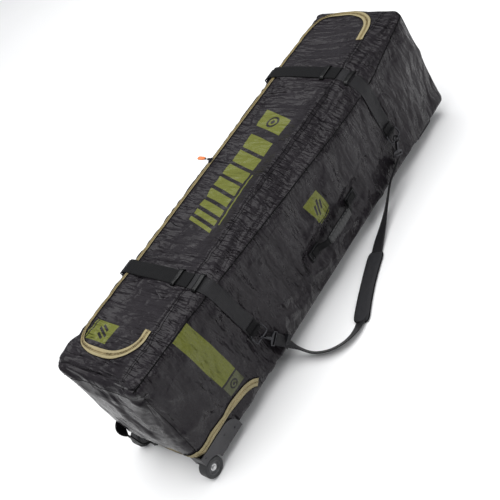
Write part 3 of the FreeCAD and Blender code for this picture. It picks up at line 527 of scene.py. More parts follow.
def make_nylon():
    """Coated charcoal nylon with its olive prints, which follow the flat panels' own coordinates."""
    n = Nodes("coated_nylon")
    flat = n.attribute("flat")
    x, y, z = n.split(flat)
    on_top = z > TOP_Z - 0.0006
    on_side = y < -HALF_Y + 0.0006
    bright, dull = side_print((x, z))
    ink = (lid_print((x, y)) * on_top) | (bright * on_side)

    cloud = n.noise(flat, 6.0, 5.0, 0.6)
    cloth = n.ramp(cloud, (0.3, (0.0125, 0.0106, 0.0127)), (0.7, (0.0185, 0.0160, 0.0188)))
    cloth = n.mix(n.grey(n.noise(flat, 90.0, 4.0, 0.6), 0.0, 0.2, 0.5, 0.8), cloth, (0.030, 0.027, 0.031))
    printed = n.mix(dull * on_side, n.mix(ink, cloth, INK_OLIVE), INK_DULL)
    wear = n.grey(n.noise(flat, 240.0, 3.0, 0.7), 0.0, 0.3, 0.55, 0.75)
    worn = n.mix(wear, printed, (0.02, 0.02, 0.02))
    rough = n.grey(n.noise(flat, 35.0, 4.0, 0.6), 0.22, 0.36, 0.3, 0.7)
    return n.finish(worn, rough, nylon_relief(n, flat, z), Specular_IOR_Level=0.17)


# ---- the other materials ----


def make_webbing(name, colour, light, gloss=0.25):
    """Woven strap: fine ribs across it and lanes along it."""
    n = Nodes(name)
    weave = n.attribute("weave")
    ribs = n.wave(n.stretch(weave, (1, 1, 0)), 160.0, "X")
    lanes = n.wave(n.stretch(weave, (1, 1, 0)), 75.0, "Y")
    speck = n.noise(weave, 500.0, 2.0, 0.6)
    tone = n.mix(n.grey(ribs * 0.5 + lanes * 0.5, 0.0, 1.0), colour, light)
    tone = n.mix(n.grey(speck, 0.0, 0.4, 0.4, 0.8), tone, colour)
    normal = n.bump((ribs, 0.5, 0.0006), (lanes, 0.3, 0.0005), (speck, 0.3, 0.0004))
    rough = n.grey(n.noise(weave, 40.0), 0.48, 0.68)
    return n.finish(tone, rough, normal, Sheen_Weight=0.03, Specular_IOR_Level=gloss)


def make_tape():
    """Tan woven zip tape with dirt in it."""
    n = Nodes("zip_tape")
    weave = n.attribute("weave")
    ribs = n.wave(weave, 240.0, "X")
    lanes = n.wave(weave, 150.0, "Y")
    dirt = n.noise(weave, 30.0, 5.0, 0.6)
    tone = n.mix(n.grey(ribs * lanes, 0.0, 1.0), (0.24, 0.200, 0.100), (0.41, 0.350, 0.190))
    tone = n.mix(n.grey(dirt, 0.0, 0.45, 0.45, 0.8), tone, (0.16, 0.125, 0.07))
    normal = n.bump((ribs, 0.4, 0.0004), (lanes, 0.4, 0.0004))
    return n.finish(tone, n.grey(dirt, 0.6, 0.8), normal, Sheen_Weight=0.05)


def make_solid(name, low, high, rough_low, rough_high, grain=180.0, depth=0.0004, **constants):
    """A hard material with mottled colour, uneven gloss and a fine grain."""
    n = Nodes(name)
    place = n.make("ShaderNodeTexCoord", "Object")
    speck = n.noise(place, grain, 3.0, 0.6)
    tone = n.ramp(n.noise(place, 14.0, 5.0, 0.6), (0.35, low), (0.7, high))
    scuff = n.grey(n.noise(n.stretch(place, (1, 1, 5)), 45.0, 6.0, 0.7), 0.0, 0.35, 0.6, 0.8)
    tone = n.mix(scuff, tone, tuple(min(1.0, c * 1.9 + 0.02) for c in high))
    rough = n.grey(speck, rough_low, rough_high, 0.3, 0.7)
    return n.finish(tone, rough, n.bump((speck, 0.35, depth)), **constants)


nylon = make_nylon()
black_webbing = make_webbing("black_webbing", (0.002, 0.002, 0.0024), (0.0055, 0.0055, 0.0062), 0.10)
grey_webbing = make_webbing("strap_webbing", (0.0055, 0.0053, 0.0062), (0.014, 0.0135, 0.0155))
pad_cloth = make_webbing("pad_cover", (0.014, 0.014, 0.016), (0.026, 0.026, 0.029))
tan_tape = make_tape()
coil_plastic = make_solid("zip_coil", (0.19, 0.145, 0.06), (0.30, 0.235, 0.11), 0.4, 0.55)
seam_cord = make_solid(
    "seam_cord", (0.0012, 0.0012, 0.0014), (0.003, 0.003, 0.0033), 0.75, 0.9, Specular_IOR_Level=0.1
)
lining = make_solid("lining", (0.05, 0.05, 0.055), (0.085, 0.085, 0.09), 0.6, 0.8, 300.0)
grip_rubber = make_solid(
    "grip_rubber", (0.003, 0.003, 0.0035), (0.006, 0.006, 0.007), 0.22, 0.38, 350.0, Specular_IOR_Level=0.45
)
keeper_rubber = make_solid(
    "keeper_rubber", (0.0008, 0.0008, 0.0009), (0.002, 0.002, 0.0022), 0.25, 0.4, Specular_IOR_Level=0.3
)
thread = make_solid("thread", (0.035, 0.035, 0.038), (0.06, 0.06, 0.065), 0.5, 0.7)
dark_metal = make_solid("dark_hardware", (0.03, 0.03, 0.034), (0.07, 0.07, 0.075), 0.25, 0.45, Metallic=0.9)

SLOT_MATERIALS = {
    "moulding": make_solid(
        "moulded_guard", (0.024, 0.023, 0.026), (0.036, 0.035, 0.039), 0.42, 0.6, 420.0, 0.0005
    ),
    "buckle_plastic": make_solid("buckle_plastic", (0.006, 0.006, 0.007), (0.012, 0.012, 0.014), 0.25, 0.4),
    "zinc_hardware": dark_metal,
    "bright_steel": make_solid(
        "bright_steel", (0.50, 0.50, 0.51), (0.68, 0.68, 0.68), 0.2, 0.38, Metallic=1.0
    ),
    "puller_rubber": make_solid("orange_tab", (0.52, 0.13, 0.035), (0.68, 0.20, 0.06), 0.45, 0.6),
    "wheel_rubber": make_solid("wheel_tyre", (0.018, 0.018, 0.02), (0.036, 0.036, 0.038), 0.55, 0.75, 300.0),
    "hub_plastic": make_solid("wheel_hub", (0.045, 0.045, 0.048), (0.075, 0.075, 0.08), 0.35, 0.55),
    "board": make_solid("base_board", (0.16, 0.155, 0.15), (0.23, 0.225, 0.22), 0.5, 0.7),
}
for row in frame["record"]["subparts"]:
    if row["material_slot"] in SLOT_MATERIALS:
        node = frame["nodes"][row["node"]]
        node.data.materials.clear()
        node.data.materials.append(SLOT_MATERIALS[row["material_slot"]])
for name in ("guard_screws", "rail_screws"):
    frame["nodes"][name].data.materials[0] = dark_metal

# ---- shoulder strap ----

STRAP_WIDTH = 0.038
UPPER_ROUTE = [
    (0.432, -0.199, 0.1045), (0.399, -0.202, 0.097), (0.365, -0.205, 0.090), (0.329, -0.208, 0.079),
    (0.289, -0.213, 0.056), (0.243, -0.219, 0.034), (0.192, -0.228, 0.018), (0.142, -0.241, 0.012),
    (0.103, -0.253, 0.007),
]
UPPER_ACROSS = [
    (0.38, 0.69, -0.61), (0.38, 0.69, -0.61), (0.38, 0.69, -0.61), (0.38, 0.69, -0.61), (0.34, 0.75, -0.56),
    (0.2, 0.85, -0.45), (0.0, 0.95, -0.30), (-0.2, 1, -0.1), (-0.3, 1, 0.0),
]
PAD_ROUTE = [(0.050, -0.272, 0.007), (-0.028, -0.299, 0.007), (-0.106, -0.327, 0.007)]
PAD_ACROSS = [(-0.33, 0.94, 0.0)] * 3
LOWER_ROUTE = [
    (-0.160, -0.346, 0.007), (-0.204, -0.350, 0.011), (-0.248, -0.341, 0.017), (-0.285, -0.315, 0.020),
    (-0.307, -0.280, 0.021), (-0.317, -0.246, 0.025), (-0.322, -0.219, 0.044), (-0.329, -0.205, 0.073),
    (-0.341, -0.200, 0.104), (-0.3546, -0.199, 0.1324),
]
LOWER_ACROSS = [
    (-0.35, 0.95, 0.0), (-0.1, 0.97, -0.15), (0.25, 0.85, -0.40), (0.38, 0.69, -0.55), (0.42, 0.66, -0.58),
    (0.45, 0.62, -0.60), (0.45, 0.6, -0.6), (0.5, 0.55, -0.6), (0.75, 0.35, -0.2), (0.87, 0, 0.5),
]
ROUTE = UPPER_ROUTE + PAD_ROUTE + LOWER_ROUTE
ACROSS = UPPER_ACROSS + PAD_ACROSS + LOWER_ACROSS


def spline_points(name, route):
    """Points on the smooth line whose control points are a cord's route."""
    curve = bpy.data.curves.new(name, "CURVE")
    curve.dimensions = "3D"
    curve.resolution_u = 14
    spline = curve.splines.new("NURBS")
    spline.points.add(len(route) - 1)
    for point, place in zip(spline.points, route):
        point.co = (*place, 1)
    spline.order_u = 3
    spline.use_endpoint_u = True
    holder = bpy.data.objects.new(name, curve)
    bpy.context.collection.objects.link(holder)
    line = baked_mesh(holder)
    rows = np.array([v.co for v in line.vertices], float)
    bpy.data.objects.remove(holder)
    bpy.data.meshes.remove(line)
    return even(rows, LINE_STEP)


def make_shoulder_strap():
    """Flat webbing along the route, turned so that its width follows the across directions."""
    middle = spline_points("shoulder_strap", ROUTE)
    heading = tangents(middle)
    share = np.linspace(0, 1, len(middle)) * (len(ROUTE) - 1)
    rows = np.array(ACROSS, float)
    across = np.column_stack([np.interp(share, range(len(rows)), rows[:, k]) for k in range(3)])
    across = relax(across, 8)
    across = unit(across - heading * np.sum(across * heading, axis=1, keepdims=True))
    normals = unit(np.cross(heading, across))
    return slab("shoulder_strap", middle, across, normals, STRAP_WIDTH, 0.0022, grey_webbing), middle


PAD_ROWS, PAD_COLUMNS = 60, 20
PAD_WIDTH = 0.050


def pad_point(length, s, w, layer):
    """The pad's surface: s runs along it and w across it, both from -1 to 1; layer 1 is the upper face."""
    edge = min(1.0, (1 - abs(s)) * length / 2 / 0.028)
    narrow = math.sqrt(max(0.0, 1 - (1 - edge) ** 2))
    half = PAD_WIDTH / 2 * (0.62 + 0.38 * narrow) * (1 - 0.03 * math.cos(math.pi * s))
    sag = 0.006 * (1 - s * s)
    near = min(1.0, (1 - abs(w)) / 0.35) * min(1.0, (1 - abs(s)) / 0.06)
    puff = math.sqrt(max(0.0, near * (2 - near)))
    channel = 0.0016 * math.exp(-(((abs(w) - 0.74) / 0.05) ** 2))
    ripple = 0.0012 * noise.noise(Vector((s * 6, w * 1.6, 3.0)))
    height = 0.0068 + (0.0052 * puff - channel + ripple) * (1 if layer else -1)
    return Vector((s * length / 2, w * half - sag, height))


def pad_rim():
    """The numbers of the pad's edge points, round its upper face."""
    stride, last = PAD_COLUMNS + 1, PAD_ROWS * (PAD_COLUMNS + 1)
    near = list(range(PAD_COLUMNS))
    right = [row * stride + PAD_COLUMNS for row in range(PAD_ROWS)]
    far = [last + column for column in range(PAD_COLUMNS, 0, -1)]
    left = [row * stride for row in range(PAD_ROWS, 0, -1)]
    return near + right + far + left


def make_pad():
    """The shoulder pad: a crowned foam slab with a stitched channel and a bound edge."""
    start, finish = Vector(UPPER_ROUTE[-1]), Vector(LOWER_ROUTE[0])
    along = finish - start
    length = along.length + 0.004
    points, weave = [], []
    for layer in (1, 0):
        for row in range(PAD_ROWS + 1):
            for column in range(PAD_COLUMNS + 1):
                s, w = row / PAD_ROWS * 2 - 1, column / PAD_COLUMNS * 2 - 1
                points.append(pad_point(length, s, w, layer))
                weave.append((s * length / 2, w * PAD_WIDTH / 2, layer))
    faces = strip_faces(PAD_ROWS + 1, PAD_COLUMNS)
    pad = add_mesh("shoulder_pad_cover", points, faces, pad_cloth, attributes={"weave": weave})
    fix_normals(pad)
    middle = (start + finish) / 2
    turn = Matrix.Rotation(math.atan2(along.y, along.x), 4, "Z")
    place = Matrix.Translation((middle.x, middle.y, 0)) @ turn
    lower = (PAD_ROWS + 1) * (PAD_COLUMNS + 1)
    edge = [place @ ((points[a] + points[lower + a]) / 2) for a in pad_rim()]
    edge = even(np.array([*edge, edge[0]]), LINE_STEP)[:-1]
    pad.data.transform(place)
    return pad, tube("shoulder_pad_binding", edge, 0.0022, black_webbing, closed=True)


shoulder_strap, strap_line = make_shoulder_strap()
pad_cover, pad_binding = make_pad()
for piece in (shoulder_strap, pad_cover, pad_binding):
    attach(piece, "bag")
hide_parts("strap_webbing_upper", "strap_webbing_lower")
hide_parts("shoulder_pad")

# ---- the shell's lines ----

GRID = 0.007
SEAM_X = (-0.775, -0.563, -0.386, -0.198, 0.007, 0.239, 0.363, 0.500, 0.640, 0.762, 0.775)
SEAM_DROP = (0.004, 0.012, 0.026, 0.040, 0.054, 0.070, 0.076, 0.074, 0.046, 0.018, 0.014)

# The lid zip: from the hinge, round the wheel end, along the buckle side and round the far end.
ZIP_LINE = smooth_path(
    [
        (-0.594, -0.093), (-0.634, -0.089), (-0.672, -0.066), (-0.696, -0.022), (-0.703, 0.035),
        (-0.701, 0.090), (-0.688, 0.127), (-0.655, 0.150), (-0.600, 0.158), (-0.500, 0.158), (-0.400, 0.158),
        (0.400, 0.158), (0.600, 0.157), (0.690, 0.152), (0.730, 0.138), (0.750, 0.105), (0.756, 0.055),
        (0.752, -0.005), (0.736, -0.050), (0.706, -0.082), (0.665, -0.098), (0.612, -0.106),
    ],
    LINE_STEP,
)
LID_OUTLINE = np.vstack([[(-0.594, HINGE_Y)], ZIP_LINE, [(0.612, HINGE_Y)]])


def seam_height(x):
    """The corded seam runs from the wheel-end corner down the handle side, and up again at the far end."""
    return TOP_Z - np.interp(x, SEAM_X, SEAM_DROP)


def seam_radius(x):
    """How round the edge over the corded seam is: the seam lies near the foot of the curve."""
    return 0.014 + TOP_Z - seam_height(x)


def inside_outline(points):
    """True for each (x, y) point inside the lid's outline."""
    x, y = points[:, 0], points[:, 1]
    inside = np.zeros(len(points), bool)
    for (ax, ay), (bx, by) in zip(LID_OUTLINE, np.roll(LID_OUTLINE, -1, axis=0)):
        crosses = (ay > y) != (by > y)
        with np.errstate(divide="ignore", invalid="ignore"):
            at = (bx - ax) * (y - ay) / (by - ay) + ax
        inside ^= crosses & (x < at)
    return inside


def nearest_on(points, line):
    """The closest point of a polyline to each (x, y) point, and how far it is."""
    best = np.full(len(points), 1e9)
    spot = np.zeros_like(points)
    for a, b in zip(line, line[1:]):
        edge = b - a
        t = np.clip(((points - a) @ edge) / max(edge @ edge, 1e-12), 0, 1)
        candidate = a + t[:, None] * edge
        far = np.linalg.norm(points - candidate, axis=1)
        closer = far < best
        best[closer] = far[closer]
        spot[closer] = candidate[closer]
    return spot, best


def slider_sweep(node, joint):
    """The stretch of x that a zip slider covers over its travel, and the slider's box at rest."""
    low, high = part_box(node)
    near, far = TRAVEL[joint]
    return low.x + near, high.x + far, low, high


# ---- the shell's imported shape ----

LOW_CORNER = np.array([-HALF_X, -HALF_Y, BASE_Z])
HIGH_CORNER = np.array([HALF_X, HALF_Y, TOP_Z])
SQUARE = ((0, 0), (1, 0), (1, 1), (0, 1))
TOUCH = 0.0006


def lattice():
    """A closed box of small squares: flat coordinates and faces."""
    counts = [round(size / GRID) for size in (2 * HALF_X, 2 * HALF_Y, TOP_Z - BASE_Z)]
    step = np.array([2 * HALF_X, 2 * HALF_Y, TOP_Z - BASE_Z]) / counts
    index, flat, faces = {}, [], []

    def vertex(place):
        if place not in index:
            index[place] = len(flat)
            flat.append(LOW_CORNER + np.array(place) * step)
        return index[place]

    for axis in range(3):
        first, second = [k for k in range(3) if k != axis]
        for end in (0, counts[axis]):
            outward = (end > 0) == (axis != 1)
            for i in range(counts[first]):
                for j in range(counts[second]):
                    corners = []
                    for di, dj in SQUARE:
                        place = {axis: end, first: i + di, second: j + dj}
                        corners.append(vertex((place[0], place[1], place[2])))
                    faces.append(corners if outward else corners[::-1])
    return np.array(flat), np.array(faces)


def on_faces(flat, reach=1e-5):
    """True for the points on the top, the handle side, the plain side and the ends of the flat box."""
    x, y, z = flat.T
    top, right = np.abs(z - TOP_Z) < reach, np.abs(y + HALF_Y) < reach
    return top, right, np.abs(y - HALF_Y) < reach, np.abs(np.abs(x) - HALF_X) < reach


def corner_radii(x, y, height):
    """How round the box's edges are: tight on the plain side, wide over the seam and at the wheel end."""
    handle_side = 1 - ease(y, -HALF_Y, HALF_Y * 0.3)
    radius = 0.018 + (seam_radius(x) - 0.018) * handle_side
    radius = 0.020 + (radius - 0.020) * ease(height, 0.35, 0.95)
    near_cap = ease(-x, 0.64, HALF_X) * handle_side * (1 - ease(height, 0.86, 1.0))
    radius = radius + (0.058 + 0.030 * ease(height, 0.16, 0.40) - radius) * near_cap
    top_roll = ease(-x, 0.70, HALF_X) * ease(height, 0.86, 1.0)
    return (radius + (0.042 - radius) * top_roll)[:, None]


def near_face(past):
    """1 at a face of the flat box, 0 from a millimetre inside it."""
    return np.clip(past / 0.001 + 1, 0, 1)


def rounded_shape(flat):
    """The bag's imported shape: rounded corners, a crowned lid, full sides and a waist under each strap."""
    x, y, z = flat.T
    height = np.clip((z - BASE_Z) / (TOP_Z - BASE_Z), 0, 1)
    radius = corner_radii(x, y, height)
    inner = np.clip(flat, LOW_CORNER + radius, HIGH_CORNER - radius)
    shape = inner + unit(flat - inner) * radius
    across = 1 - np.clip(np.abs(y) / HALF_Y, 0, 1) ** 2
    along = 1 - np.clip(np.abs(x) / HALF_X, 0, 1) ** 6
    up = 1 - np.abs(height * 2 - 1) ** 2.2
    high_up = np.sin(np.pi * height**1.7)
    waist = sum(falloff(x - top_x, 0.045) for top_x, _, _ in STRAPS.values())
    lump = np.array([noise.noise(Vector((p[0] * 3.1, p[1] * 3.7, p[2] * 4.3))) for p in flat])
    shape[:, 2] += near_face(z - TOP_Z) * across * along * (0.010 - 0.007 * waist + 0.010 * lump)
    shape[:, 1] -= near_face(-y - HALF_Y) * up * along * (0.007 - 0.006 * waist + 0.012 * lump)
    shape[:, 1] += near_face(y - HALF_Y) * high_up * along * (0.015 - 0.013 * waist + 0.008 * lump)
    shape[:, 0] += np.sign(x) * near_face(np.abs(x) - HALF_X) * up * across**0.6 * (0.016 + 0.010 * lump)
    cap_corner = falloff(x + HALF_X, 0.075) * falloff(y + HALF_Y, 0.075) * up
    shape[:, :2] -= cap_corner[:, None] * 0.011
    high_corner = falloff(x + HALF_X, 0.10) * falloff(y - HALF_Y, 0.09) * falloff(height - 1, 0.25)
    return shape + high_corner[:, None] * np.array([-0.010, 0.015, 0.012])


# ---- keeping clear of the hard parts ----

WELL_RADIUS, WELL_INNER_Y = 0.0445, 0.129
GUARD_X, GUARD_Z = -0.603, 0.108
SPOT_REACH = 0.055


def held_spots():
    """Places on the sides where the cloth stays flat under hardware: side, x, z, half sizes in x and z."""
    handle = middle_of("side_handle_patches")
    spots = [(-1, handle.x, handle.z, 0.150, 0.024)]
    for top_x, side_x, ring_z in STRAPS.values():
        spots.append((-1, side_x, ring_z - 0.040, 0.030, 0.070))
        spots.append((1, top_x, 0.310, 0.030, 0.160))
    start, end, low, high = slider_sweep("base_zip_slider", "base_zip_slide")
    slider_z = (low.z + high.z) / 2
    spots.append((1, (start + end) / 2, slider_z - 0.006, (end - start) / 2 + 0.012, 0.026))
    return spots


def sink_under_slider(shape, node, joint, out_axis):
    """Keeps the cloth and its tape just under a slider over all of its travel."""
    start, end, low, high = slider_sweep(node, joint)
    beside = 3 - out_axis
    under = (shape[:, 0] > start - 0.020) & (shape[:, 0] < end + 0.020)
    under &= (shape[:, beside] > low[beside] - 0.016) & (shape[:, beside] < high[beside] + 0.016)
    under &= shape[:, out_axis] > low[out_axis] - 0.030
    shape[under, out_axis] = np.minimum(shape[under, out_axis], low[out_axis] - 0.0024)


def clear_wheel_wells(shape):
    """Pushes the cloth out of a cylinder round each wheel."""
    axle = middle_of("wheel_tyre_left")
    dx, dz = shape[:, 0] - axle.x, shape[:, 2] - axle.z
    far = np.hypot(dx, dz)
    inside = (far < WELL_RADIUS) & (np.abs(shape[:, 1]) > WELL_INNER_Y)
    push = np.where(far > 1e-6, WELL_RADIUS / np.maximum(far, 1e-6), 1)
    shape[inside, 0] = axle.x + dx[inside] * push[inside]
    shape[inside, 2] = axle.z + dz[inside] * push[inside]


def clear_hard_parts(shape):
    """Keeps the cloth behind the guards, handle, rings and buckles, and out of the wheel wells."""
    clear_wheel_wells(shape)
    guard = (shape[:, 0] < GUARD_X) & (shape[:, 2] < GUARD_Z)
    shape[guard, 1] = np.clip(shape[guard, 1], -HALF_Y + TOUCH, HALF_Y - TOUCH)
    shape[guard, 0] = np.maximum(shape[guard, 0], -HALF_X + TOUCH)
    for side, x, z, half_x, half_z in held_spots():
        past_x, past_z = np.abs(shape[:, 0] - x) - half_x, np.abs(shape[:, 2] - z) - half_z
        past = np.hypot(np.maximum(past_x, 0), np.maximum(past_z, 0))
        limit = HALF_Y + 0.0015 + 0.020 * ease(past, 0.0, SPOT_REACH)
        over = (shape[:, 1] * side > limit) & (past < SPOT_REACH)
        shape[over, 1] = side * limit[over]
    sink_under_slider(shape, "main_zip_slider", "main_zip_slide", 2)
    sink_under_slider(shape, "base_zip_slider", "base_zip_slide", 1)
    shape[:, 2] = np.maximum(shape[:, 2], BASE_Z + 0.0004)
    return shape


# ---- gathers and folds ----


def ridge(p, along_x, along_yz, shift):
    """Folds with sharp crests, high where the noise crosses zero; a bigger number makes them closer."""
    bend = noise.noise(Vector((p[0] * 7, p[1] * 7, p[2] * 7 + shift))) * 0.022
    place = Vector(((p[0] + bend) * along_x, (p[1] - bend) * along_yz, (p[2] + bend) * along_yz + shift))
    return 0.75 - 2.2 * abs(noise.noise(place))


def tight_places(flat):
    """How strongly the cloth is gathered: on the hinge strip, below its seam, at the zip, at the straps."""
    on_top, on_right, _, _ = on_faces(flat)
    x, y, z = flat.T
    seam = seam_height(x)
    strip = np.where(on_top, ease(-y, 0.055, 0.105), 0) + on_right * (z > seam - 0.004)
    below_seam = on_right * falloff(np.minimum(z - seam, 0), 0.045) * (z <= seam - 0.004)
    _, far = nearest_on(flat[:, :2], ZIP_LINE)
    near_zip = falloff(far - 0.030, 0.040) * on_top
    near_strap = sum(falloff(np.abs(x - top_x) - 0.04, 0.060) for top_x, _, _ in STRAPS.values())
    return strip, below_seam, near_zip, near_strap


def gathers(flat):
    """Folds that gathered seams and tight straps throw across the cloth."""
    on_top, on_right, on_left, on_end = on_faces(flat)
    strip, below_seam, near_zip, near_strap = tight_places(flat)
    amount = np.zeros(len(flat))
    for row, p in enumerate(flat):
        gather = ridge(p, 34, 7, 1.0)
        pull = ridge(p, 27, 4.5, 8.0)
        cross = ridge(p, 9, 7, 12.0)
        broad = noise.noise(Vector((p[0] * 8, p[1] * 8, p[2] * 8 + 5)))
        patchy = 0.4 + 0.9 * max(0.0, noise.noise(Vector((p[0] * 6, p[1] * 5 + 9, p[2] * 5))) + 0.3)
        top_pull = 0.0030 * patchy + 0.0030 * near_zip[row] + 0.0040 * near_strap[row]
        side_pull = 0.0018 * patchy + 0.0060 * near_strap[row]
        amount[row] = 0.0024 * strip[row] * gather
        amount[row] += 0.0030 * below_seam[row] * gather
        amount[row] += on_top[row] * top_pull * pull
        amount[row] += on_right[row] * (0.0100 * cross + side_pull * pull)
        amount[row] += (on_left[row] + on_end[row]) * 0.0050 * cross
        amount[row] += 0.0040 * broad
    return amount


def vertex_normals(points, quads):
    cross = np.cross(points[quads[:, 2]] - points[quads[:, 0]], points[quads[:, 3]] - points[quads[:, 1]])
    total = np.zeros_like(points)
    for corner in range(4):
        np.add.at(total, quads[:, corner], cross)
    return unit(total)


# ---- the sewn shell ----

BAG_WALL, LID_WALL = 0.005, 0.006
MOST_SWELL = 0.014
FRAMES = 20
STIFFNESS = {
    "tension_stiffness": 12, "compression_stiffness": 12, "shear_stiffness": 4, "bending_stiffness": 0.02,
}
DAMPING = {"tension_damping": 6, "compression_damping": 6, "air_damping": 3}
HOLD = {"vertex_group_mass": "held", "pin_stiffness": 3}
SLACK = {"vertex_group_shrink": "slack", "shrink_min": 0.0, "shrink_max": -0.15}
PRESSURE = {"use_pressure": True, "uniform_pressure_force": 0.9}
CLOTH = {"quality": 5, "mass": 0.15, **STIFFNESS, **DAMPING, **HOLD, **SLACK, **PRESSURE}


def wrinkle(shape, faces, pin, loose):
    """Lets slightly oversized cloth settle under a little pressure between its seams."""
    cloth_piece = add_mesh("wrinkle_cloth", shape, faces, None)
    held = cloth_piece.vertex_groups.new(name="held")
    slack = cloth_piece.vertex_groups.new(name="slack")
    for row in range(len(shape)):
        if pin[row] > 0:
            held.add([row], float(pin[row]), "REPLACE")
        slack.add([row], float(min(loose[row], 1)), "REPLACE")
    cloth = cloth_piece.modifiers.new("cloth", "CLOTH")
    for key, setting in CLOTH.items():
        setattr(cloth.settings, key, setting)
    cloth.settings.effector_weights.gravity = 0.15
    cloth.collision_settings.use_collision = False
    cloth.point_cache.frame_start, cloth.point_cache.frame_end = 1, FRAMES
    scene = bpy.context.scene
    for number in range(1, FRAMES + 1):
        scene.frame_set(number)
    graph = bpy.context.evaluated_depsgraph_get()
    moved = cloth_piece.evaluated_get(graph)
    rows = np.empty(len(shape) * 3)
    moved.data.vertices.foreach_get("co", rows)
    change = rows.reshape(-1, 3) - shape
    far = np.linalg.norm(change, axis=1, keepdims=True)
    bpy.data.objects.remove(cloth_piece)
    scene.frame_set(1)
    return shape + change * (np.minimum(far, MOST_SWELL) / np.maximum(far, 1e-9))


def held_amount(flat):
    """How firmly each point is held: at the zip, hinge, seams, cap edges, straps, base and guards."""
    on_top, on_side, _, on_end = on_faces(flat, 1e-6)
    x, y, z = flat.T
    _, zip_far = nearest_on(flat[:, :2], ZIP_LINE)
    at_edge = (np.abs(flat) > np.array([HALF_X, HALF_Y, 9]) - 1e-6).sum(axis=1) + on_top > 1
    holds = [
        on_top * np.clip(1.6 - zip_far / 0.012, 0, 1),
        on_top * (np.abs(y - HINGE_Y) < 0.002) * 0.9,
        on_side * (np.abs(z - seam_height(x)) < 0.0045) * 0.95,
        (at_edge & on_end) * 0.9,
        (z < BASE_Z + 0.02) * 1.0,
        ((x < -0.60) & (z < 0.115)) * 1.0,
    ]
    for top_x, side_x, ring_z in STRAPS.values():
        holds.append((on_top & (np.abs(x - top_x) < WEBBING / 2)) * 0.85)
        lean = top_x + (side_x - top_x) * (TOP_Z - z) / (TOP_Z - ring_z)
        holds.append((on_side & (np.abs(x - lean) < WEBBING / 2) & (z > ring_z)) * 0.85)
    return np.max(holds, axis=0)


def snap_to(flat, column, target, keep):
    """Moves the grid line nearest to a seam onto it."""
    values = np.unique(flat[keep, column])
    line = values[np.argmin(np.abs(values - target))]
    flat[keep & (np.abs(flat[:, column] - line) < 1e-6), column] = target


def cut_lid(flat, faces):
    """Moves the points on the lid's border onto its outline; true for each face of the lid."""
    on_top = on_faces(flat, 1e-6)[0]
    snap_to(flat, 1, HINGE_Y, on_top)
    lid_face = np.all(on_top[faces], axis=1) & inside_outline(flat[faces].mean(axis=1)[:, :2])
    uses_lid = np.zeros(len(flat), bool)
    uses_bag = np.zeros(len(flat), bool)
    uses_lid[faces[lid_face]] = True
    uses_bag[faces[~lid_face]] = True
    border = uses_lid & uses_bag
    closed_outline = np.vstack([LID_OUTLINE, LID_OUTLINE[:1]])
    flat[border, :2] = nearest_on(flat[border][:, :2], closed_outline)[0]
    return lid_face


def make_shell():
    """The whole sewn shell as one cloth, swollen and wrinkled by simulation; the lid's faces are marked."""
    flat, faces = lattice()
    on_top = on_faces(flat, 1e-6)[0]
    lid_face = cut_lid(flat, faces)
    shape = clear_hard_parts(rounded_shape(flat))
    pin = held_amount(flat)
    by_hinge, on_lid = on_top & (flat[:, 1] < HINGE_Y + 0.01), on_top & (flat[:, 1] > HINGE_Y)
    shape = wrinkle(shape, faces, pin, 0.45 + 0.35 * by_hinge + 0.25 * on_lid)
    free = 1 - np.clip(pin, 0, 1) * 0.75
    lift = gathers(flat) * free * (flat[:, 2] > BASE_Z + 0.02)
    return flat, clear_hard_parts(shape + vertex_normals(shape, faces) * lift[:, None]), faces, lid_face


def take_faces(name, flat, shape, quads, material):
    """A mesh of some of the shell's faces with only the points that they use."""
    used = np.unique(quads)
    new_index = np.full(len(shape), -1)
    new_index[used] = np.arange(len(used))
    strip, below_seam, near_zip, near_strap = tight_places(flat[used])
    gather = np.column_stack([strip + below_seam, near_zip * 0.8 + near_strap * 0.7, near_strap])
    attributes = {"flat": flat[used], "gather": np.clip(gather, 0, 1)}
    return add_mesh(name, shape[used], new_index[quads], material, attributes=attributes)


def thicken(piece, depth):
    """Gives a shell its thickness, with the lining inside and on its cut edges."""
    piece.data.materials.append(lining)
    thick = piece.modifiers.new("thick", "SOLIDIFY")
    thick.thickness = depth
    thick.offset = -1
    thick.material_offset = 1
    thick.material_offset_rim = 1
    baked = baked_mesh(piece)
    piece.modifiers.clear()
    piece.data = baked


flat, shell, shell_quads, lid_face = make_shell()
shell_tree = BVHTree.FromPolygons([Vector(p) for p in shell], shell_quads.tolist())
bag_shell = take_faces("bag_shell", flat, shell, shell_quads[~lid_face], nylon)
lid_shell = take_faces("lid_shell", flat, shell, shell_quads[lid_face], nylon)
thicken(bag_shell, BAG_WALL)
thicken(lid_shell, LID_WALL)


def with_lid(piece):
    """For a piece on the lid: bakes its placement into its mesh."""
    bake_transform(piece)


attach(bag_shell, "bag")
with_lid(lid_shell)
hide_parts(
    "side_panel_right", "side_panel_left", "wheel_end_panel", "far_end_panel", "base_panel",
    "hinge_side_strip", "wheel_end_strip", "far_end_strip", "zip_side_strip",
)
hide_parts("lid_panel")

# ---- things that lie on the shell ----


RAY_START, RAY_LENGTH = 0.07, 0.16


def land(points, outward, gap):
    """Drops points onto the shell along their outward directions and leaves a gap over it."""
    points = np.asarray(points, float)
    landed = []
    for place, out in zip(points, np.broadcast_to(outward, points.shape)):
        hit = shell_tree.ray_cast(Vector(place + out * RAY_START), Vector(-out), RAY_LENGTH)[0]
        landed.append((np.array(hit) if hit else place) + out * gap)
    return np.array(landed)


def lay_line(name, line, outward, gap, radius, material, sides=6):
    return tube(name, land(line, outward, gap), radius, material, sides)


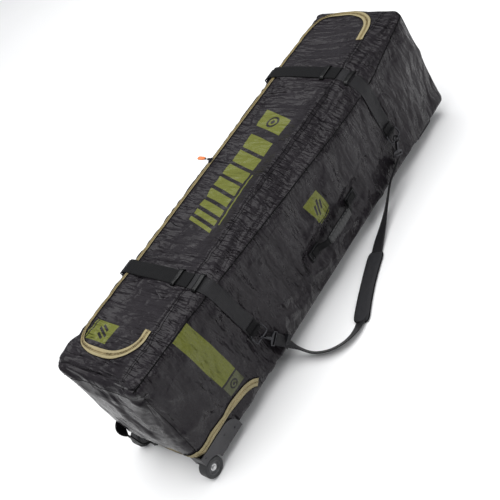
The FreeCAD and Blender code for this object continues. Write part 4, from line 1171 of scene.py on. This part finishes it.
def lay_strip(name, middle, across, outward, width, thickness, gap, material, columns=6, settle=2):
    """A strip whose every point lies on the shell; its width is one number or one for each point."""
    width = np.broadcast_to(width, len(middle))
    outward = np.broadcast_to(outward, middle.shape)
    grid = np.zeros((len(middle), columns + 1, 3))
    for column in range(columns + 1):
        share = column / columns * 2 - 1
        grid[:, column] = land(middle + across * (share * width / 2)[:, None], outward, gap)
    relax(grid, settle)
    return add_strip(name, grid + outward[:, None] * thickness, grid, middle, width, material)


# ---- zips ----

TOOTH_PITCH = 0.0028
TOOTH_FOOT, TOOTH_TIP = (0.34, 0.0019, 0.0), (0.24, 0.0014, 0.0017)
TOOTH_FACES = ((3, 2, 1, 0), (4, 5, 6, 7), (0, 1, 5, 4), (1, 2, 6, 5), (2, 3, 7, 6), (3, 0, 4, 7))
TAPE_THICKNESS, TAPE_GAP = 0.0010, 0.0012
ZIP_STEP = 0.005


def teeth(name, line, across, outward, offset, gap):
    """One side of a coil: a row of small rounded hooks along a zip."""
    rows = even(np.hstack([line, across, outward]), TOOTH_PITCH)
    middle, side, out = rows[:, :3], unit(rows[:, 3:6]), unit(rows[:, 6:9])
    base = land(middle + side * offset, out, gap)
    points, faces = [], []
    for place, s, o, t in zip(base, side, out, tangents(base)):
        start = len(points)
        for along, width, rise in (TOOTH_FOOT, TOOTH_TIP):
            for a, b in ((-1, -1), (1, -1), (1, 1), (-1, 1)):
                points.append(place + t * (a * along * TOOTH_PITCH) + s * (b * width) + o * rise)
        faces += [tuple(start + k for k in quad) for quad in TOOTH_FACES]
    return add_mesh(name, points, faces, coil_plastic, smooth=False)


def plan_normals(line):
    """Directions in plan, square to a line in plan and to its left."""
    heading = tangents(line)
    return np.column_stack([-heading[:, 1], heading[:, 0], np.zeros(len(line))])


def make_lid_zip(label, way):
    """One side of the lid's zip: tape, coil and edge cord. The body is to the left of the zip's line."""
    plan = even(ZIP_LINE, ZIP_STEP)
    line = np.column_stack([plan, np.full(len(plan), TOP_Z)])
    to_body = plan_normals(plan)
    up = np.tile(UP, (len(plan), 1))
    tape = 0.0118 - 0.0066 * ease(plan[:, 1], 0.05, 0.140)
    middle = line + to_body * (way * (tape / 2 + TAPE_GAP))[:, None]
    edge = line + to_body * (way * (tape + 0.0016))[:, None]
    name = f"zip_tape_{label}_cloth"
    strip = lay_strip(name, middle, to_body, up, tape, TAPE_THICKNESS, TAPE_GAP, tan_tape, 5)
    coil = teeth(f"zip_coil_{label}", line, to_body, up, way * 0.0022, 0.0018)
    return strip, coil, lay_line(f"zip_edge_{label}", edge, up, 0.0016, 0.0011, seam_cord)


zip_on_body = make_lid_zip("body", 1)
zip_on_lid = make_lid_zip("lid", -1)
for piece in zip_on_body:
    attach(piece, "bag")
for piece in zip_on_lid:
    with_lid(piece)
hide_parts("zip_tape_body")
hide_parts("zip_tape_lid")


def base_zip_route():
    """Round the wheel end near the base: points, and the direction out of the shell at each."""
    on_side = [
        (-0.487, 0.088), (-0.503, 0.106), (-0.535, 0.118), (-0.580, 0.122), (-0.632, 0.121), (-0.690, 0.119),
        (-0.735, 0.117),
    ]
    on_end = [(-0.145, 0.110), (-0.110, 0.094), (-0.060, 0.074), (0.0, 0.067)]
    rows = [(x, -HALF_Y, z, *RIGHT) for x, z in on_side]
    rows.append((-0.765, -0.170, 0.115, *(RIGHT + WHEEL_END)))
    rows += [(-HALF_X, y, z, *WHEEL_END) for y, z in on_end]
    half = np.array(rows)
    mirrored = half[-2::-1] * (1, -1, 1, 1, -1, 1)
    return smooth_path(np.vstack([half, mirrored]), ZIP_STEP)


def make_base_zip():
    """The second zip: one wide tape, its coil and a cord along each edge."""
    rows = base_zip_route()
    line, outward = rows[:, :3], unit(rows[:, 3:])
    across = unit(np.cross(outward, tangents(line)))
    strip = lay_strip("base_zip_cloth", line, across, outward, 0.026, TAPE_THICKNESS, TAPE_GAP, tan_tape)
    pieces = [strip, teeth("base_zip_coil", line, across, outward, 0.0, 0.0020)]
    for label, way in (("upper", 1), ("lower", -1)):
        edge = line + across * way * 0.0145
        pieces.append(lay_line(f"base_zip_edge_{label}", edge, outward, TAPE_GAP, 0.0012, seam_cord))
    return pieces


base_zip = make_base_zip()
for piece in base_zip:
    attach(piece, "bag")
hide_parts("base_zip_tape")

# ---- seams ----

SEAM_STEP = 0.006


def corner_loop(x, way, drop):
    """Round the edge of an end cap, or a little below it along the top: points and outward directions."""
    top = TOP_Z - drop
    rows = [(x, -HALF_Y, z, way, -1, 0) for z in np.arange(0.125, top - 0.004, SEAM_STEP)]
    for y in np.arange(-HALF_Y, HALF_Y + 0.001, SEAM_STEP):
        rows.append((x, y, top, way, 0, 0 if drop else 1))
    rows += [(x, HALF_Y, z, way, 1, 0) for z in np.arange(top - SEAM_STEP, 0.123, -SEAM_STEP)]
    return np.array(rows, float)


def side_piping(xs):
    """The corded seam along the handle side, in lengths that stop at the straps."""
    line = np.column_stack([xs, np.full(len(xs), -HALF_Y), seam_height(xs)])
    clear = np.ones(len(xs), bool)
    for top_x, side_x, _ in STRAPS.values():
        lean = top_x + (side_x - top_x) * 0.15
        clear &= np.abs(xs - lean) > WEBBING / 2 + 0.002
    breaks = np.flatnonzero(np.diff(clear.astype(int)) != 0) + 1
    out = unit(RIGHT + 0.8 * UP)
    pieces = []
    for number, run in enumerate(np.split(np.arange(len(xs)), breaks)):
        if clear[run[0]] and len(run) > 3:
            pieces.append(lay_line(f"side_piping_{number}", line[run], out, 0.0004, 0.0017, seam_cord))
    return pieces


def make_seams():
    """The corded seam along the handle side, the stitched hinge lines and the seams round both end caps."""
    xs = np.arange(-0.770, 0.7701, SEAM_STEP)
    pieces = side_piping(xs)
    for number, y in enumerate((HINGE_Y - 0.004, HINGE_Y - 0.011)):
        hinge = np.column_stack([xs, np.full(len(xs), y), np.full(len(xs), TOP_Z)])
        pieces.append(lay_line(f"hinge_stitch_{number}", hinge, UP, 0.0, 0.0008, seam_cord))
    for label, x, way, drop in (("wheel", -HALF_X, -1, 0.045), ("far", HALF_X, 1, 0.0)):
        rows = corner_loop(x, way, drop)
        pieces.append(lay_line(f"{label}_end_seam", rows[:, :3], unit(rows[:, 3:]), 0.0, 0.0010, seam_cord))
    return pieces


seams = make_seams()
for piece in seams:
    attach(piece, "bag")
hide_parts("seam_piping")

# ---- compression straps ----

STRAP_THICKNESS = 0.0018
STRAP_STEP = 0.006


def over_the_edge(start_z, end_y, radius):
    """Up the handle side, over its rounded edge and onto the top: points and outward directions."""
    rows = [(0, -HALF_Y, z, 0, -1.0, 0.0) for z in np.arange(start_z, TOP_Z - radius, STRAP_STEP)]
    for c, s in arc(0, 90, 14):
        rows.append((0, -(HALF_Y - radius + radius * c), TOP_Z - radius + radius * s, 0, -c, s))
    on_top = np.arange(HALF_Y - radius - STRAP_STEP, end_y, -STRAP_STEP)
    rows += [(0, -y, TOP_Z, 0, 0.0, 1.0) for y in on_top]
    rows = np.array(rows)
    return rows[:, :3], rows[:, 3:]


def make_side_strap(name, top_x, side_x, ring_z):
    """Webbing from the ring up the handle side and over to the hinge."""
    points, outward = over_the_edge(ring_z - RING_DROP, 0.114, float(seam_radius(top_x)))
    drop = np.clip((TOP_Z - points[:, 2]) / (TOP_Z - ring_z), 0, 1)
    points[:, 0] = top_x + (side_x - top_x) * drop
    across = unit(np.cross(outward, tangents(points)))
    name = f"{name}_side_webbing"
    return lay_strip(name, points, across, outward, WEBBING, STRAP_THICKNESS, 0.0012, grey_webbing, 10, 4)


def make_lid_strap(name, top_x):
    """Webbing across the lid that leaves its far edge and drops to the buckle."""
    drop_y, bend = 0.1950, 0.020
    on_lid = land([(top_x, y, TOP_Z) for y in np.arange(-0.116, 0.150, STRAP_STEP)], UP, 0.004)
    tail = [(top_x, drop_y - bend + bend * c, TOP_Z - 0.014 + bend * s) for c, s in arc(75, 0, 8)]
    tail += [(top_x, drop_y, 0.4455), (top_x, drop_y, 0.4415)]
    line = relax(smooth_path(np.vstack([on_lid[::3], tail]), 0.005), 6)
    return webbing_along(f"{name}_lid_webbing", line, FORWARD, WEBBING, STRAP_THICKNESS, black_webbing, 8)


def make_anchor(name, x):
    """Webbing from the plain side panel into the buckle's socket, with its sewn end."""
    on_side = land([(x, HALF_Y, z) for z in np.arange(0.140, 0.300, STRAP_STEP)], LEFT, 0.0022)
    rise = [(0.1915, 0.350), (0.1945, 0.362), (0.1952, 0.371), (0.1975, 0.3775), (0.203, 0.3775)]
    line = smooth_path(np.vstack([on_side[::4], [(x, y, z) for y, z in rise]]), LINE_STEP)
    width = WEBBING - 0.0008
    return webbing_along(f"{name}_anchor_webbing", line, FORWARD, width, STRAP_THICKNESS, grey_webbing, 8)


def make_keeper(name, x, y):
    """An elastic loop over a strap."""
    half = 0.031
    xs = np.linspace(-half, half, 25)
    foot = land([(x + offset, y, TOP_Z) for offset in xs], UP, 0.0)
    share = np.clip((half - np.abs(xs)) / 0.005, 0, 1)
    foot[:, 2] += 0.0012 + 0.0072 * np.sqrt(share)
    relax(foot, 2)
    across = np.tile(LEFT, (len(xs), 1))
    normals = unit(np.cross(tangents(foot), across))
    return slab(name, foot, across, normals, 0.016, 0.0030, keeper_rubber, 4)


def make_fold(name, x, z):
    """Webbing sewn round the ring's top bar and back onto the side strap."""
    ring_y, radius = -0.189, 0.0045
    rows = [(x, -0.1865, z + 0.030)]
    rows += [(x, ring_y - radius * c, z + radius * s) for c, s in arc(115, -115, 14)]
    rows.append((x, -0.1835, z - 0.016))
    return webbing_along(name, smooth_path(rows, 0.003), FORWARD, 0.044, STRAP_THICKNESS, black_webbing)


for name, (top_x, side_x, ring_z) in STRAPS.items():
    side_strap = make_side_strap(name, top_x, side_x, ring_z)
    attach(side_strap, "bag")
    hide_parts(f"{name}_side_strap")
    lid_strap = make_lid_strap(name, top_x)
    with_lid(lid_strap)
    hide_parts(f"{name}_lid_strap")
    anchor = make_anchor(name, top_x)
    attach(anchor, "bag")
    fixed_keeper = make_keeper(f"{name}_fixed_keeper", top_x, -0.150)
    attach(fixed_keeper, "bag")
    lid_keeper = make_keeper(f"{name}_lid_keeper", top_x, -0.062)
    with_lid(lid_keeper)
    if name == "lower":
        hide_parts("anchor_straps")
        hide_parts("fixed_strap_keepers")
        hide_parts("lid_strap_keepers")

folds = [make_fold(f"{name}_ring_webbing", side_x, ring_z) for name, (_, side_x, ring_z) in STRAPS.items()]
for piece in folds:
    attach(piece, "bag")
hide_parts("ring_folds")

# ---- side handle ----

HANDLE = middle_of("side_handle_patches")
HANDLE_ENDS = (("near", -1), ("far", 1))
STITCH_RISE, THREAD_RADIUS = 0.0004, 0.0006


def stitch_box(name, centre, right, up, out, half_w, half_h):
    """A sewn square with a cross, as short thread lines on a patch."""
    corners = [(-1, -1), (1, -1), (1, 1), (-1, 1), (-1, -1), (1, 1)]
    threads = []
    places = [centre + right * (a * half_w) + up * (b * half_h) + out * STITCH_RISE for a, b in corners]
    for number, (start, end) in enumerate(zip(places, places[1:])):
        line = np.array([start + (end - start) * t for t in np.linspace(0, 1, 5)])
        threads.append(tube(f"{name}_{number}", line, THREAD_RADIUS, thread, 5))
    return join(name, threads)


def make_handle_patch(label, way):
    """One sewn patch of the side handle and its stitches."""
    x = HANDLE.x + way * 0.116
    line = np.array([(x + offset, -HALF_Y, HANDLE.z) for offset in np.linspace(-0.029, 0.029, 11)])
    patch = lay_strip(f"handle_patch_{label}", line, UP, RIGHT, 0.040, 0.0016, 0.0008, black_webbing, 8, 1)
    at = land([(x, -HALF_Y, HANDLE.z)], RIGHT, 0.0028)[0]
    return patch, stitch_box(f"handle_stitch_{label}", at, FORWARD, UP, RIGHT, 0.024, 0.016)


def make_handle_strap(label, way):
    """Half of the handle's strap, from its sewn end to the middle of the grip."""
    rows = [
        (0.128, 0.0048), (0.112, 0.0048), (0.101, 0.0056), (0.092, 0.0110), (0.080, 0.0220), (0.064, 0.0300),
        (0.0, 0.0325),
    ]
    line = smooth_path([(HANDLE.x + way * x, -HALF_Y - stand, HANDLE.z) for x, stand in rows], LINE_STEP)
    return webbing_along(f"handle_webbing_{label}", line, UP, 0.026, 0.0026, black_webbing)


def flattened(number, power=0.62):
    """Keeps a sine's sign and fills out its curve, which squares a circle a little."""
    return math.copysign(abs(number) ** power, number)


def make_grip():
    """A ribbed rubber grip with rounded ends, round the middle of the handle's strap."""
    low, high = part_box("side_handle_grip")
    middle = (low + high) / 2
    rings, sides = 44, 22
    points = []
    for ring in range(rings + 1):
        s = ring / rings * 2 - 1
        end = math.sqrt(max(0.0, 1 - max(0.0, (abs(s) - 0.93) / 0.07) ** 2))
        rib = 0.0005 * math.cos(s * math.pi * 9)
        half_z = (0.0165 + 0.0016 * math.cos(math.pi * s)) * (0.75 + 0.25 * end) + rib
        half_y = 0.0068 * (0.7 + 0.3 * end) + rib
        x, bow = middle.x + s * (high.x - low.x) / 2, middle.y + 0.0022 * s * s
        for c, q in circle(sides):
            points.append((x, bow + flattened(c) * half_y, middle.z + flattened(q) * half_z))
    grip = add_mesh("handle_grip_cover", points, tube_faces(rings + 1, sides), grip_rubber)
    fix_normals(grip)
    return grip


handle_patches = [make_handle_patch(label, way) for label, way in HANDLE_ENDS]
handle_straps = [make_handle_strap(label, way) for label, way in HANDLE_ENDS]
handle_grip = make_grip()
for patch, stitches in handle_patches:
    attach(patch, "bag")
    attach(stitches, "bag")
for piece, (_, way) in zip(handle_straps, HANDLE_ENDS):
    sewn, free = HANDLE.x + way * 0.103, HANDLE.x + way * 0.070
    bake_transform(piece)
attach(handle_grip, "grab_handle")
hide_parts("side_handle_patches")
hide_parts("side_handle_strap")
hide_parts("side_handle_grip")

# ---- end handles ----


def make_loop_handle(name, centre, run, out, half, rise, twist=0.0):
    """A webbing loop with sewn feet. run is along it, out stands it off the panel, twist is in radians."""
    width = 0.038
    across = np.cross(out, run)
    rising = [
        (-half - 0.018, 0.0022), (-half - 0.004, 0.0024), (-half + 0.004, 0.006),
        (-half + 0.013, rise * 0.55), (-half + 0.024, rise * 0.88), (-half * 0.4, rise - 0.0016),
    ]
    rows = rising + [(-u, v) for u, v in rising[::-1]]
    line = smooth_path([centre + run * u + out * v for u, v in rows], LINE_STEP)
    heading = tangents(line)
    share = (line - centre) @ run / half
    turn = twist * np.clip(1 - ((share + 0.55) / 0.5) ** 2, 0, 1)[:, None]
    flat_across = unit(across - heading * (heading @ across)[:, None])
    sides = flat_across * np.cos(turn) + np.cross(heading, flat_across) * np.sin(turn)
    normals = unit(np.cross(sides, heading))
    pieces = [slab(f"{name}_strap", line, sides, normals, width, 0.0034, black_webbing, 8)]
    for label, way in (("a", -1), ("b", 1)):
        at = centre + run * (way * (half + 0.011)) + out * 0.0040
        pieces.append(stitch_box(f"{name}_stitch_{label}", at, run, across, out, 0.0055, width / 2 - 0.005))
    return pieces


SLANT = unit(np.array([0.0, -0.072, -0.110]))
WHEEL_HANDLE = np.array([-HALF_X - 0.001, 0.110, 0.121])
FAR_HANDLE = np.array([HALF_X + 0.001, 0.0, 0.250])
wheel_handle = make_loop_handle("end_handle", WHEEL_HANDLE, SLANT, WHEEL_END, 0.0657, 0.030, 0.9)
far_handle = make_loop_handle("far_handle", FAR_HANDLE, LEFT, -WHEEL_END, 0.090, 0.031)
for pieces, node in ((wheel_handle, "end_handle_webbing"), (far_handle, "far_end_handle")):
    for piece in pieces:
        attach(piece, "bag")
    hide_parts(node)

# ---- floor and light ----


def make_stage():
    """A wide pale floor under a dim, faintly blue sky."""
    n = Nodes("floor")
    cloud = n.noise(n.make("ShaderNodeTexCoord", "Object"), 0.8, 2.0, 0.5)
    tone = n.ramp(cloud, (0.4, (0.90, 0.90, 0.90)), (0.6, (0.93, 0.93, 0.93)))
    half = 9
    corners = [(-half, -half, 0), (half, -half, 0), (half, half, 0), (-half, half, 0)]
    floor = add_mesh("floor", corners, [(0, 1, 2, 3)], n.finish(tone, 0.85, Specular_IOR_Level=0.2))
    world = bpy.data.worlds.new("studio")
    world.use_nodes = True
    sky = world.node_tree.nodes["Background"].inputs
    sky["Color"].default_value = (0.92, 0.95, 1.0, 1)
    sky["Strength"].default_value = 0.25
    bpy.context.scene.world = world


def add_light(name, place, aim, size, power):
    """A rectangular lamp at a place, facing another."""
    data = bpy.data.lights.new(name, "AREA")
    data.shape = "RECTANGLE"
    data.size, data.size_y = size
    data.energy = power
    light = bpy.data.objects.new(name, data)
    light.location = place
    light.rotation_mode = "QUATERNION"
    light.rotation_quaternion = (Vector(aim) - Vector(place)).to_track_quat("-Z", "Y")
    bpy.context.collection.objects.link(light)


make_stage()
add_light("top", (-0.2, 0.5, 4.6), (-0.1, 0.2, 0), (7.0, 6.5), 420)
add_light("key", (0.8, -3.6, 2.2), (0, 0, 0.2), (2.2, 1.4), 36)
